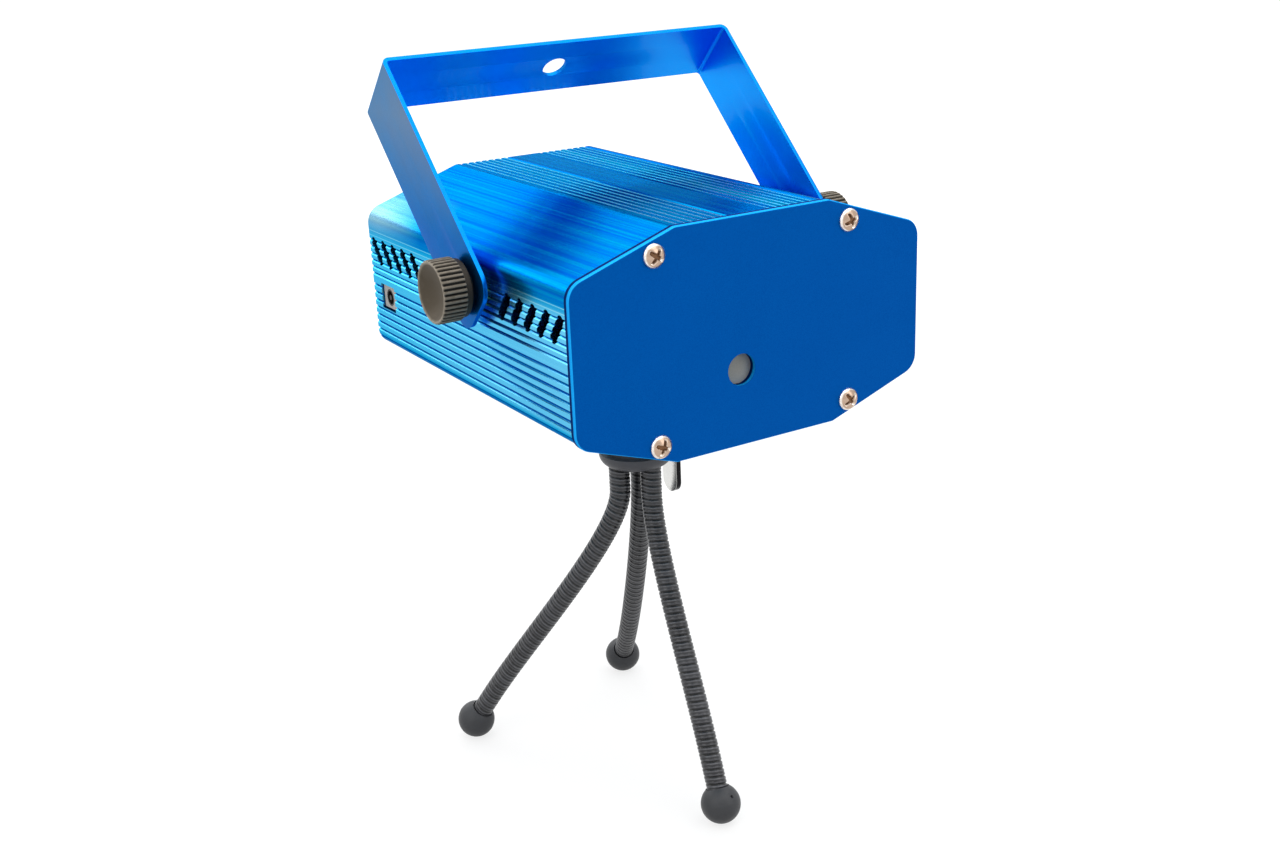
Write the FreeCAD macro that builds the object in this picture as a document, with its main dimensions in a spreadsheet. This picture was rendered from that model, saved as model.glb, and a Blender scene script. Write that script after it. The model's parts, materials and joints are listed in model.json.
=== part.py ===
import FreeCAD
import Part
import math
import os
import re
import Sketcher

# Laser show projector with a U bracket, standing on a gooseneck tripod. Millimetres, +Z up.
# The beam leaves towards -Y. The origin is on the floor, below the middle of the outer box.

SIZES = {
    # Eight-sided section of the housing and its plates
    "body_width": 92.0,
    "body_height": 51.5,
    "body_length": 105.6,
    "top_flat": 40.2,
    "bottom_flat": 42.6,
    "side_low": 8.3,
    "side_high": 42.8,
    "shoulder_round": 4.5,
    "flat_round": 2.0,
    "wall": 2.0,
    "plate_thick": 1.8,
    "plate_overhang": 0.35,
    "rear_inset": 0.9,
    "plate_edge_round": 0.4,
    "stand_height": 106.0,
    # Ribs rolled into the extrusion
    "rib_low": 10.0,
    "rib_pitch": 1.95,
    "rib_count": 8,
    "rib_depth": 0.6,
    "rib_mouth": 0.8,
    "fine_low": 26.6,
    "fine_pitch": 1.75,
    "fine_count": 6,
    "fine_depth": 0.45,
    "fine_mouth": 0.8,
    "ridge_inner": 5.2,
    "ridge_pitch": 1.9,
    "ridge_count": 8,
    "ridge_depth": 0.55,
    "ridge_mouth": 0.9,
    # Slanted vents, one group at each end
    "vent_low": 30.8,
    "vent_rise": 4.2,
    "vent_width": 2.6,
    "vent_lean": 3.3,
    "vent_first": 4.5,
    "vent_pitch": 5.85,
    "vent_count": 5,
    # Plate screws
    "screw_x": 25.5,
    "screw_high_z": 46.2,
    "screw_low_z": 4.6,
    "screw_shank": 1.4,
    "screw_length": 9.0,
    "screw_head": 2.65,
    "screw_head_rise": 1.7,
    "screw_dome": 3.4,
    "recess_span": 3.1,
    "recess_width": 0.75,
    "recess_depth": 0.9,
    "boss_wall": 1.5,
    "screw_clearance": 0.2,
    # Front aperture and beam axis
    "beam_x": -4.0,
    "beam_z": 17.5,
    "aperture_radius": 3.6,
    "window_lap": 1.6,
    "window_thick": 1.2,
    # Bracket
    "pivot_y": 43.0,
    "pivot_z": 35.2,
    "bracket_width": 17.7,
    "bracket_thick": 1.0,
    "bracket_reach": 58.5,
    "bracket_tail": 7.6,
    "bracket_tail_round": 5.0,
    "bracket_lean": 45.6,
    "bend_inside": 0.8,
    "hang_hole": 3.15,
    "washer_thick": 1.4,
    "washer_radius": 4.5,
    "insert_radius": 4.2,
    "insert_flange": 5.6,
    "insert_flange_thick": 1.5,
    "insert_length": 8.0,
    # Clamp knobs
    "stud_radius": 2.0,
    "stud_reach": 9.5,
    "stud_seat": 4.5,
    "running_gap": 0.05,
    "pivot_gap": 0.1,
    "knob_radius": 7.2,
    "knob_length": 8.2,
    "knob_collar": 4.6,
    "knob_collar_rise": 0.9,
    "knob_skirt": 6.6,
    "knob_skirt_rise": 2.5,
    "knob_rim_round": 0.4,
    "knob_face": 6.1,
    "knob_dish": 1.4,
    "knob_flutes": 38,
    "flute_radius": 0.38,
    # Power inlet on the left side
    "jack_y": 95.0,
    "jack_width": 7.3,
    "jack_height": 5.6,
    "jack_depth": 12.0,
    "jack_hole": 1.75,
    "jack_hole_depth": 9.0,
    "jack_pin": 0.65,
    "jack_gap": 0.4,
    "jack_inset": 0.6,
    # Control board in its card guides
    "board_z": 17.2,
    "board_thick": 1.6,
    "board_length": 34.0,
    "board_rear_gap": 4.0,
    "guide_gap": 0.2,
    "guide_rise": 1.4,
    "guide_reach": 2.0,
    "capacitor_radius": 3.0,
    "capacitor_rise": 8.0,
    "capacitor_spacing": 9.0,
    "chip_length": 9.0,
    "chip_width": 6.0,
    "chip_rise": 1.8,
    "chip_spacing": 13.0,
    "mic_radius": 3.0,
    "mic_rise": 5.0,
    "mic_inset": 7.65,
    "mic_hole": 1.0,
    # Optical bench
    "bench_gap": 0.5,
    "bench_length": 52.0,
    "bench_front": 12.0,
    "bench_thick": 2.0,
    "bench_lift": 3.5,
    "bench_post": 2.5,
    "bench_post_x": 17.0,
    "bench_post_inset": 5.0,
    "module_radius": 6.0,
    "module_length": 30.0,
    "module_mouth": 1.5,
    "module_mouth_depth": 2.0,
    "clamp_wall": 2.5,
    "clamp_length": 16.0,
    "green_front": 33.0,
    "red_y": 27.0,
    "red_end": 7.0,
    "clamp_setback": 6.0,
    "mirror_side": 9.0,
    "mirror_thick": 1.0,
    "mirror_post": 3.0,
    # Rotating grating
    "grating_lift": 12.0,
    "grating_radius": 15.5,
    "grating_thick": 1.0,
    "grating_y": 8.0,
    "grating_boss": 2.6,
    "grating_boss_rise": 1.5,
    "motor_radius": 6.0,
    "motor_length": 12.0,
    "motor_shaft": 0.75,
    "motor_shaft_seat": 6.0,
    "bracket_plate": 1.2,
    "motor_plate_y": 12.5,
    "motor_plate_width": 20.0,
    "motor_plate_rise": 9.0,
    "motor_foot": 8.0,
    "motor_nose_gap": 0.45,
    "beam_hole": 3.2,
    # Rear controls
    "pot_x": -16.0,
    "pot_z": 37.0,
    "pot_radius": 6.0,
    "pot_depth": 7.0,
    "pot_seat": 4.0,
    "pot_shaft": 3.0,
    "pot_hole_gap": 0.35,
    "dial_radius": 6.2,
    "dial_length": 7.6,
    "dial_gap": 0.6,
    "dial_seat": 5.0,
    "dial_collar": 4.2,
    "dial_collar_rise": 0.8,
    "dial_skirt": 5.7,
    "dial_skirt_rise": 1.8,
    "dial_rim_round": 0.4,
    "dial_face": 5.1,
    "dial_dish": 0.3,
    "dial_flutes": 32,
    "switch_x": -16.0,
    "switch_z": 25.0,
    "switch_width": 13.0,
    "switch_depth": 6.5,
    "switch_height": 6.0,
    "slider_width": 3.2,
    "slider_height": 2.6,
    "slider_stand": 2.6,
    "slider_root": 3.0,
    "slider_travel": 2.5,
    "slider_gap": 0.3,
    # Fan behind the rear plate
    "fan_z": 32.5,
    "fan_gap": 0.5,
    "fan_side": 25.0,
    "fan_depth": 7.0,
    "fan_bore": 11.6,
    "fan_hub": 5.0,
    "fan_cup": 4.6,
    "fan_cup_thick": 1.6,
    "fan_strut": 1.6,
    "fan_blades": 7,
    "blade_thick": 0.8,
    "blade_pitch": 40.0,
    "blade_tip_gap": 0.7,
    "fan_axial_gap": 0.6,
    "fan_shaft": 0.75,
    "fan_hole_offset": 10.0,
    "fan_screw": 1.25,
    "fan_screw_length": 7.0,
    "fan_screw_head": 2.1,
    "fan_screw_rise": 1.2,
    "fan_screw_dome": 2.8,
    "grille_hole": 1.3,
    "grille_step": 3.4,
    # Tripod head
    "bush_radius": 5.0,
    "bush_flange": 7.5,
    "bush_flange_thick": 1.6,
    "tripod_stud": 3.1,
    "tripod_stud_gap": 0.08,
    "stud_rise": 3.6,
    "platform_radius": 11.0,
    "platform_thick": 2.5,
    "pad_thick": 1.2,
    "tilt_drop": 9.5,
    "tongue_thick": 4.8,
    "tongue_radius": 4.5,
    "ear_gap": 0.2,
    "ear_thick": 2.8,
    "clevis_floor_gap": 0.3,
    "clevis_floor": 3.0,
    "clevis_radius": 7.6,
    "bolt_radius": 1.5,
    "bolt_head": 2.8,
    "bolt_head_rise": 1.6,
    "pan_screw": 1.4,
    "pan_screw_head": 2.6,
    "pan_screw_head_rise": 1.5,
    "pan_screw_seat": 3.4,
    "hub_radius": 9.5,
    "hub_rise": 3.7,
    "hub_round": 3.2,
    "lever_boss": 4.0,
    "lever_tab": 1.4,
    "lever_hub_gap": 0.4,
    "lever_length": 18.5,
    "lever_width": 6.4,
    # Gooseneck legs and ball feet
    "leg_radius": 2.7,
    "leg_valley": 2.3,
    "leg_bore": 1.1,
    "leg_ring": 4.7,
    "leg_socket": 2.4,
    "leg_fit": 0.1,
    "rib_step": 1.65,
    "rib_land": 0.5,
    "rib_slope": 0.22,
    "leg_drop": 6.7,
    "leg_straight": 5.0,
    "foot_radius": 5.1,
    "foot_socket": 3.2,
    "left_hub_angle": 167.0,
    "left_foot_angle": 133.0,
    "left_reach": 49.9,
    "left_lean": 33.0,
    "left_pull": 12.0,
    "left_push": 24.0,
    "front_hub_angle": 287.0,
    "front_foot_angle": 266.4,
    "front_reach": 37.8,
    "front_lean": 25.0,
    "front_pull": 16.0,
    "front_push": 24.0,
    "rear_hub_angle": 47.0,
    "rear_foot_angle": 66.9,
    "rear_reach": 48.6,
    "rear_lean": 42.0,
    "rear_pull": 12.0,
    "rear_push": 24.0,
}

# Places worked out from the sizes. The housing's own frame has y = 0 on the front face and z = 0 under it.
PLACES = {
    "dial_end": "dial_gap + dial_length",
    "front_y": "(screw_head_rise - body_length - dial_end)/2",
    "axis_y": "front_y + body_length/2",
    "low_slope": "atan(side_low/((body_width - bottom_flat)/2))",
    "top_slope": "atan((body_height - side_high)/((body_width - top_flat)/2))",
    "shell_half": "body_width/2 - plate_overhang",
    "inner_half": "shell_half - wall",
    "inner_floor": "plate_overhang + wall",
    "rear_inner": "body_length - plate_thick",
    "bracket_half": "body_width/2 + washer_thick + bracket_thick",
    "bench_half": "screw_x - screw_shank - boss_wall - bench_gap",
    "bench_base": "inner_floor + bench_lift",
    "bench_top": "bench_base + bench_thick",
    "clamp_rise": "beam_z - bench_top + module_radius + clamp_wall",
    "grating_z": "beam_z + grating_lift",
    "board_top": "board_z + board_thick",
    "board_rear": "rear_inner - board_rear_gap",
    "guide_inner": "inner_half - guide_reach",
    "mic_x": "guide_inner - mic_inset",
    "fan_x": "screw_x - screw_shank - boss_wall - fan_gap - fan_side/2",
    "fan_front": "rear_inner - fan_depth",
    "rotor_front": "fan_front + fan_cup_thick + fan_axial_gap",
    "rotor_length": "fan_depth - fan_cup_thick - 2*fan_axial_gap",
    "slot_width": "slider_width + 2*slider_travel + 2*slider_gap",
    "slot_height": "slider_height + 2*slider_gap",
    "tilt_z": "stand_height - tilt_drop",
    "platform_rise": "tilt_drop - pad_thick - platform_thick",
    "ear_inner": "tongue_thick/2 + ear_gap",
    "ear_outer": "ear_inner + ear_thick",
    "clevis_top": "tongue_radius + clevis_floor_gap",
    "hub_top": "clevis_top + clevis_floor",
    "hub_bottom_z": "tilt_z - hub_top - hub_rise",
    "lever_inner": "hub_radius + lever_hub_gap",
    "lever_outer": "lever_inner + lever_tab",
    "leg_hole": "leg_radius + leg_fit",
}

doc = FreeCAD.newDocument("laser_projector")
sheet = doc.addObject("Spreadsheet::Sheet", "sizes")
for row, (alias, number) in enumerate(SIZES.items(), start=1):
    sheet.set(f"A{row}", alias)
    sheet.set(f"B{row}", str(number))
    sheet.setAlias(f"B{row}", alias)
doc.recompute()

NODES = {}
X_AXIS = FreeCAD.Vector(1, 0, 0)
Y_AXIS = FreeCAD.Vector(0, 1, 0)
Z_AXIS = FreeCAD.Vector(0, 0, 1)
TURNS = {
    "x": FreeCAD.Rotation(Y_AXIS, 90),
    "y": FreeCAD.Rotation(X_AXIS, -90),
    "z": FreeCAD.Rotation(),
}
LEGS = ("left", "front", "rear")
ROUTE_STEPS = 400
GRILLE_RINGS = 3
GRILLE_STEP_HOLES = 6
CLOSE = 1e-6
PARALLEL = 0.999
HOUSING = ("0", "front_y", "stand_height")
TILT_PIVOT = ("0", "axis_y", "tilt_z")


def formula(text):
    """Expand place names and point every size at its cell in the sheet."""
    def expand(match):
        word = match.group()
        if word in PLACES:
            return "(" + formula(PLACES[word]) + ")"
        return "sizes." + word if word in SIZES else word
    return re.sub(r"[a-z_][a-z_0-9]*", expand, text)


def value(text):
    """Number that a formula gives for the sizes now in the sheet."""
    result = sheet.evalExpression(formula(text))
    return float(getattr(result, "Value", result))


def bind(item, **properties):
    """Bind properties of a document object to formulas."""
    for name, text in properties.items():
        item.setExpression(name, formula(text))
    return item


def place(item, spot, turn=None):
    """Bind an object's position to three formulas, with an optional fixed turn."""
    if turn is not None:
        item.Placement = FreeCAD.Placement(FreeCAD.Vector(), turn)
    for name, text in zip("xyz", spot):
        item.setExpression("Placement.Base." + name, formula(text))
    return item


def shifted(spot, origin):
    """Add two positions written as formulas."""
    return tuple(f"({a}) + ({b})" for a, b in zip(spot, origin))


def node(label, item, spot=None, turn=None):
    """Name a finished sub-part and place it in the object's frame."""
    item.Label = label
    NODES[label] = item
    if spot is not None:
        place(item, spot, turn)
    return item


def box(low, size):
    """Box from its low corner and its three sizes."""
    item = doc.addObject("Part::Box", "box")
    bind(item, Length=size[0], Width=size[1], Height=size[2])
    return place(item, low)


def rod(radius, length, start, axis):
    """Cylinder that runs from its start along one axis."""
    item = doc.addObject("Part::Cylinder", "rod")
    bind(item, Radius=radius, Height=length)
    return place(item, start, TURNS[axis])


def ball(radius, centre, axis="z"):
    """Sphere about its centre, with its poles on one axis."""
    item = doc.addObject("Part::Sphere", "ball")
    bind(item, Radius=radius)
    return place(item, centre, TURNS[axis])


def fuse(*items):
    """One solid from overlapping or touching solids."""
    item = doc.addObject("Part::MultiFuse", "fuse")
    item.Shapes = list(items)
    item.Refine = True
    return item


def cut(base, *tools):
    """Base with every tool taken out of it."""
    item = doc.addObject("Part::Cut", "cut")
    item.Base = base
    item.Tool = tools[0] if len(tools) == 1 else fuse(*tools)
    return item


def common(first, second):
    """Space that two solids share."""
    item = doc.addObject("Part::Common", "common")
    item.Base = first
    item.Tool = second
    return item


def group(*items):
    """Separate solids kept together as one sub-part."""
    item = doc.addObject("Part::Compound", "group")
    item.Links = list(items)
    return item


def new_body(name):
    """Empty feature body."""
    return doc.addObject("PartDesign::Body", name)


def origin_feature(body, role):
    """Plane or axis of a body's own origin."""
    return next(item for item in body.Origin.OriginFeatures if item.Role == role)


def sketch_on(body, plane):
    """New sketch on one of the body's origin planes."""
    sketch = body.newObject("Sketcher::SketchObject", "sketch")
    sketch.AttachmentSupport = (origin_feature(body, plane), [""])
    sketch.MapMode = "FlatFace"
    return sketch


def pin_point(sketch, geometry, point, spot):
    """Hold a sketch point at two formulas measured from the sketch's origin."""
    for kind, text in zip(("DistanceX", "DistanceY"), spot):
        rule = Sketcher.Constraint(kind, -1, 1, geometry, point, value(text))
        sketch.setExpression(f"Constraints[{sketch.addConstraint(rule)}]", formula(text))


def add_loop(sketch, corners):
    """Closed polygon whose corners are pairs of formulas."""
    spots = [FreeCAD.Vector(value(u), value(v), 0) for u, v in corners]
    first = sketch.GeometryCount
    for start, end in zip(spots, spots[1:] + spots[:1]):
        sketch.addGeometry(Part.LineSegment(start, end))
    count = len(corners)
    for index in range(count):
        joint = Sketcher.Constraint("Coincident", first + index, 2, first + (index + 1) % count, 1)
        sketch.addConstraint(joint)
    for index, spot in enumerate(corners):
        pin_point(sketch, first + index, 1, spot)


def add_circle(sketch, radius, centre):
    """Circle from a radius formula and a pair of centre formulas."""
    middle = FreeCAD.Vector(value(centre[0]), value(centre[1]), 0)
    index = sketch.addGeometry(Part.Circle(middle, FreeCAD.Vector(0, 0, 1), value(radius)))
    rule = sketch.addConstraint(Sketcher.Constraint("Radius", index, value(radius)))
    sketch.setExpression(f"Constraints[{rule}]", formula(radius))
    pin_point(sketch, index, 3, centre)


def pad(body, sketch, length, backwards=False, symmetric=False):
    """Extrude a sketch by a formula's length."""
    item = body.newObject("PartDesign::Pad", "pad")
    item.Profile = sketch
    item.Reversed = backwards
    item.SideType = "Symmetric" if symmetric else "One side"
    return bind(item, Length=length)


def pocket(body, sketch, length=None, backwards=False, symmetric=False):
    """Cut a sketch into the body, right through unless a length is given, and check that it cut."""
    before = body.Tip
    item = body.newObject("PartDesign::Pocket", "pocket")
    item.Profile = sketch
    item.Reversed = backwards
    item.SideType = "Symmetric" if symmetric else "One side"
    if length is None:
        item.Type = "ThroughAll"
    else:
        bind(item, Length=length)
    doc.recompute()
    if item.Shape.Volume >= before.Shape.Volume:
        raise RuntimeError(f"a pocket of {body.Name} cuts nothing")
    return item


def row_of(body, feature, sketch, axis, pitch, count):
    """Repeat a feature along an axis of its sketch."""
    item = body.newObject("PartDesign::LinearPattern", "row")
    item.Originals = [feature]
    item.Direction = (sketch, [axis])
    bind(item, Length=f"{pitch}*({count} - 1)", Occurrences=count)
    body.Tip = item
    return item


def ring_of(body, feature, axis, count):
    """Repeat a feature round one of the body's axes."""
    item = body.newObject("PartDesign::PolarPattern", "ring")
    item.Originals = [feature]
    item.Axis = (origin_feature(body, axis), [""])
    item.Angle = 360
    bind(item, Occurrences=count)
    body.Tip = item
    return item


def round_edges(body, radius, chosen):
    """Fillet the edges of the body's tip that a test chooses."""
    doc.recompute()
    base = body.Tip
    names = [f"Edge{i}" for i, edge in enumerate(base.Shape.Edges, start=1) if chosen(edge)]
    item = body.newObject("PartDesign::Fillet", "rounding")
    item.Base = (base, names)
    return bind(item, Radius=radius)


def along(edge, axis):
    """Whether an edge is straight and runs along an axis."""
    if edge.Curve.TypeId != "Part::GeomLine":
        return False
    return abs(edge.Curve.Direction.dot(axis)) > PARALLEL


# Housing
def octagon(inset):
    """Corners of the eight-sided section, moved in by an even inset."""
    low = f"side_low + ({inset})*(1 - sin(low_slope))/cos(low_slope)"
    high = f"side_high - ({inset})*(1 - sin(top_slope))/cos(top_slope)"
    half = f"body_width/2 - ({inset})"
    bottom = f"bottom_flat/2 - ({inset})*tan(low_slope/2)"
    top = f"top_flat/2 - ({inset})*tan(top_slope/2)"
    roof = f"body_height - ({inset})"
    right = [(bottom, inset), (half, low), (half, high), (top, roof)]
    left = [(f"-({u})", v) for u, v in reversed(right)]
    return right + left


def round_section(body, inset):
    """Round the long outer edges: wide at the shoulders, small at the flats."""
    corners = octagon(inset)
    for indexes, radius in (((1, 2, 5, 6), "shoulder_round"), ((0, 3, 4, 7), "flat_round")):
        spots = [(value(corners[i][0]), value(corners[i][1])) for i in indexes]

        def is_corner(edge, spots=spots):
            middle = edge.CenterOfMass
            return along(edge, Y_AXIS) and any(
                math.hypot(middle.x - u, middle.z - v) < value("plate_overhang") for u, v in spots)
        round_edges(body, radius, is_corner)


def screw_spots():
    """Centres of the four plate screws."""
    return [(f"{side}screw_x", tall) for side in ("", "-") for tall in ("screw_high_z", "screw_low_z")]


def fan_screw_spots():
    """Centres of the fan's four screws."""
    return [(f"fan_x {a} fan_hole_offset", f"fan_z {b} fan_hole_offset") for a in "+-" for b in "+-"]


def notch(half, middle, depth, mouth):
    """V groove in the right side at a height: a triangle that reaches past the face by its own depth."""
    reach = f"{half} + {depth}"
    return [(f"{half} - {depth}", middle), (reach, f"{middle} - {mouth}"), (reach, f"{middle} + {mouth}")]


def side_grooves(body, low, pitch, count, depth, mouth):
    """Row of V grooves along both sides of the housing."""
    sketch = sketch_on(body, "XZ_Plane")
    right = notch("shell_half", low, depth, mouth)
    add_loop(sketch, right)
    add_loop(sketch, [(f"-({u})", v) for u, v in right])
    row_of(body, pocket(body, sketch), sketch, "V_Axis", pitch, count)


def top_grooves(body):
    """Two bands of V grooves along the roof, with a smooth strip between them."""
    sketch = sketch_on(body, "XZ_Plane")
    roof = "body_height - plate_overhang"
    for middle in ("ridge_inner", "-ridge_inner - ridge_pitch*(ridge_count - 1)"):
        corners = notch(roof, middle, "ridge_depth", "ridge_mouth")
        add_loop(sketch, [(v, u) for u, v in corners])
    row_of(body, pocket(body, sketch), sketch, "H_Axis", "ridge_pitch", "ridge_count")


def vent_row(body, first, lean):
    """Slanted slots with round ends through both sides, in a row from a first slot."""
    foot = (f"{first} + {lean}", "vent_low")
    head = (first, "vent_low + vent_rise")
    tilt = f"atan(({lean})/vent_rise)"
    across = (f"vent_width/2*cos({tilt})", f"vent_width/2*sin({tilt})")
    back = tuple(f"-{text}" for text in across)
    straight = sketch_on(body, "YZ_Plane")
    add_loop(straight, [shifted(foot, back), shifted(foot, across),
                        shifted(head, across), shifted(head, back)])
    ends = sketch_on(body, "YZ_Plane")
    for spot in (foot, head):
        add_circle(ends, "vent_width/2", spot)
    for sketch in (straight, ends):
        row_of(body, pocket(body, sketch, symmetric=True), sketch, "H_Axis", "vent_pitch", "vent_count")


def housing_shell():
    """Extruded tube with screw bosses, card guides, ribs, vents and cut-outs."""
    body = new_body("housing_shell")
    length = "body_length - 2*plate_thick"
    section = sketch_on(body, "XZ_Plane")
    add_loop(section, octagon("plate_overhang"))
    add_loop(section, octagon("plate_overhang + wall"))
    pad(body, section, length, backwards=True)
    round_section(body, "plate_overhang")

    inside = sketch_on(body, "XZ_Plane")
    for spot in screw_spots():
        add_circle(inside, "screw_shank + boss_wall", spot)
    for side in ("", "-"):
        for low in ("board_z - guide_gap - guide_rise", "board_top + guide_gap"):
            high = f"{low} + guide_rise"
            root = f"{side}(inner_half + wall/2)"
            tip = f"{side}guide_inner"
            add_loop(inside, [(root, low), (tip, low), (tip, high), (root, high)])
    pad(body, inside, length, backwards=True)

    pilot = sketch_on(body, "XZ_Plane")
    for spot in screw_spots():
        add_circle(pilot, "screw_shank + running_gap", spot)
    pocket(body, pilot)

    side_grooves(body, "rib_low", "rib_pitch", "rib_count", "rib_depth", "rib_mouth")
    side_grooves(body, "fine_low", "fine_pitch", "fine_count", "fine_depth", "fine_mouth")
    top_grooves(body)
    vent_row(body, "vent_first - plate_thick", "vent_lean")
    last = "body_length - plate_thick - vent_first - vent_pitch*(vent_count - 1)"
    vent_row(body, last, "-vent_lean")

    pivot = sketch_on(body, "YZ_Plane")
    add_circle(pivot, "insert_radius", ("pivot_y - plate_thick", "pivot_z"))
    pocket(body, pivot, symmetric=True)

    inlet = sketch_on(body, "YZ_Plane")
    middle = "jack_y - plate_thick"
    side = "jack_width/2 + jack_gap"
    floor = "board_top - jack_gap"
    roof = "board_top + jack_height + jack_gap"
    add_loop(inlet, [(f"{middle} - ({side})", floor), (f"{middle} + {side}", floor),
                     (f"{middle} + {side}", roof), (f"{middle} - ({side})", roof)])
    pocket(body, inlet, "body_width/2")

    bush = sketch_on(body, "XY_Plane")
    add_circle(bush, "bush_radius", ("0", "body_length/2 - plate_thick"))
    pocket(body, bush, "inner_floor + wall", backwards=True)
    node("housing_shell", body, ("0", "front_y + plate_thick", "stand_height"))


def plate(name, holes, inset):
    """End plate: the section's outline moved in by an inset, with its screw holes and further round holes."""
    body = new_body(name)
    section = sketch_on(body, "XZ_Plane")
    add_loop(section, octagon(inset))
    for spot in screw_spots():
        add_circle(section, "screw_shank + screw_clearance", spot)
    for radius, spot in holes:
        add_circle(section, radius, spot)
    pad(body, section, "plate_thick", backwards=True)
    round_section(body, inset)
    return body


def round_plate_rim(body, face_y):
    """Round the outer rim of a plate's outer face."""
    doc.recompute()
    face = next(item for item in body.Tip.Shape.Faces if abs(item.CenterOfMass.y - face_y) < CLOSE)
    rim = face.OuterWire.Edges
    round_edges(body, "plate_edge_round", lambda edge: any(edge.isSame(other) for other in rim))


def front_plate():
    """Front plate with the beam aperture."""
    body = plate("front_plate", [("aperture_radius", ("beam_x", "beam_z"))], "0")
    round_plate_rim(body, 0)
    node("front_plate", body, HOUSING)


def rear_plate():
    """Rear plate with the fan grille, the slider's slot and the holes of the dial and microphone."""
    holes = [("pot_shaft + pot_hole_gap", ("pot_x", "pot_z")),
             ("mic_hole", ("mic_x", "board_top + mic_radius")),
             ("grille_hole", ("fan_x", "fan_z"))]
    holes += [("fan_screw + screw_clearance", spot) for spot in fan_screw_spots()]
    for ring in range(1, GRILLE_RINGS + 1):
        count = GRILLE_STEP_HOLES * ring
        reach = f"{ring}*grille_step"
        for index in range(count):
            turn = f"360*{index}/{count}"
            holes.append(("grille_hole", (f"fan_x + {reach}*cos({turn})", f"fan_z + {reach}*sin({turn})")))
    body = plate("rear_plate", holes, "plate_overhang + rear_inset")
    slot = sketch_on(body, "XZ_Plane")
    left = "switch_x - slot_width/2"
    right = "switch_x + slot_width/2"
    low = "switch_z - slot_height/2"
    high = "switch_z + slot_height/2"
    add_loop(slot, [(left, low), (right, low), (right, high), (left, high)])
    pocket(body, slot)
    round_plate_rim(body, value("plate_thick"))
    node("rear_plate", body, ("0", "front_y + rear_inner", "stand_height"))


def pan_screw_solid(spot, sizes):
    """Pan-head screw with a cross recess: its head stands on y = 0 towards +Y."""
    shank, length, head, rise, dome = sizes
    x, z = spot
    round_head = common(rod(head, rise, (x, "0", z), "y"), ball(dome, (x, f"{rise} - {dome}", z), "y"))
    stem = rod(shank, f"{length} + {rise}/2", (x, f"-{length}", z), "y")
    cut_low = f"{rise} - recess_depth"
    across = box((f"{x} - recess_span/2", cut_low, f"{z} - recess_width/2"),
                 ("recess_span", "recess_depth", "recess_width"))
    upright = box((f"{x} - recess_width/2", cut_low, f"{z} - recess_span/2"),
                  ("recess_width", "recess_depth", "recess_span"))
    return cut(fuse(round_head, stem), across, upright)


def screw_sets():
    """Screws of both plates and of the fan."""
    plate_screw = ("screw_shank", "screw_length", "screw_head", "screw_head_rise", "screw_dome")
    fan_screw = ("fan_screw", "fan_screw_length", "fan_screw_head", "fan_screw_rise", "fan_screw_dome")
    rear_face = shifted(("0", "body_length", "0"), HOUSING)
    sets = (("front_plate_screws", screw_spots(), plate_screw, HOUSING, 180),
            ("rear_plate_screws", screw_spots(), plate_screw, rear_face, 0),
            ("fan_screws", fan_screw_spots(), fan_screw, rear_face, 0))
    for label, spots, sizes, seat, turn in sets:
        solids = [pan_screw_solid(spot, sizes) for spot in spots]
        node(label, group(*solids), seat, FreeCAD.Rotation(Z_AXIS, turn))


# Bracket and its clamps
def bracket():
    """Flat strip bent to a U, with pivot holes in its arms and a hanging hole in its bar."""
    body = new_body("bracket")
    section = sketch_on(body, "XZ_Plane")
    outer = "bracket_half"
    inner = "bracket_half - bracket_thick"
    roof = "bracket_reach - bracket_thick"
    add_loop(section, [(f"-({outer})", "-bracket_tail"), (f"-({inner})", "-bracket_tail"),
                       (f"-({inner})", roof), (inner, roof), (inner, "-bracket_tail"),
                       (outer, "-bracket_tail"), (outer, "bracket_reach"), (f"-({outer})", "bracket_reach")])
    pad(body, section, "bracket_width", symmetric=True)

    def at_tail(edge):
        return along(edge, X_AXIS) and abs(edge.CenterOfMass.z + value("bracket_tail")) < CLOSE

    def at_bend(height):
        return lambda edge: along(edge, Y_AXIS) and abs(edge.CenterOfMass.z - value(height)) < CLOSE
    round_edges(body, "bend_inside", at_bend(roof))
    round_edges(body, "bend_inside + bracket_thick", at_bend("bracket_reach"))
    round_edges(body, "bracket_tail_round", at_tail)

    pivot = sketch_on(body, "YZ_Plane")
    add_circle(pivot, "stud_radius + pivot_gap", ("0", "0"))
    pocket(body, pivot, symmetric=True)
    hang = sketch_on(body, "XY_Plane")
    add_circle(hang, "hang_hole", ("0", "0"))
    pocket(body, hang, "bracket_reach + bracket_thick", backwards=True)
    node("bracket", body)
    body.setExpression("Placement", formula(
        "placement(vector(0; front_y + pivot_y; stand_height + pivot_z);"
        " rotation(vector(1; 0; 0); -bracket_lean))"))


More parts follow.
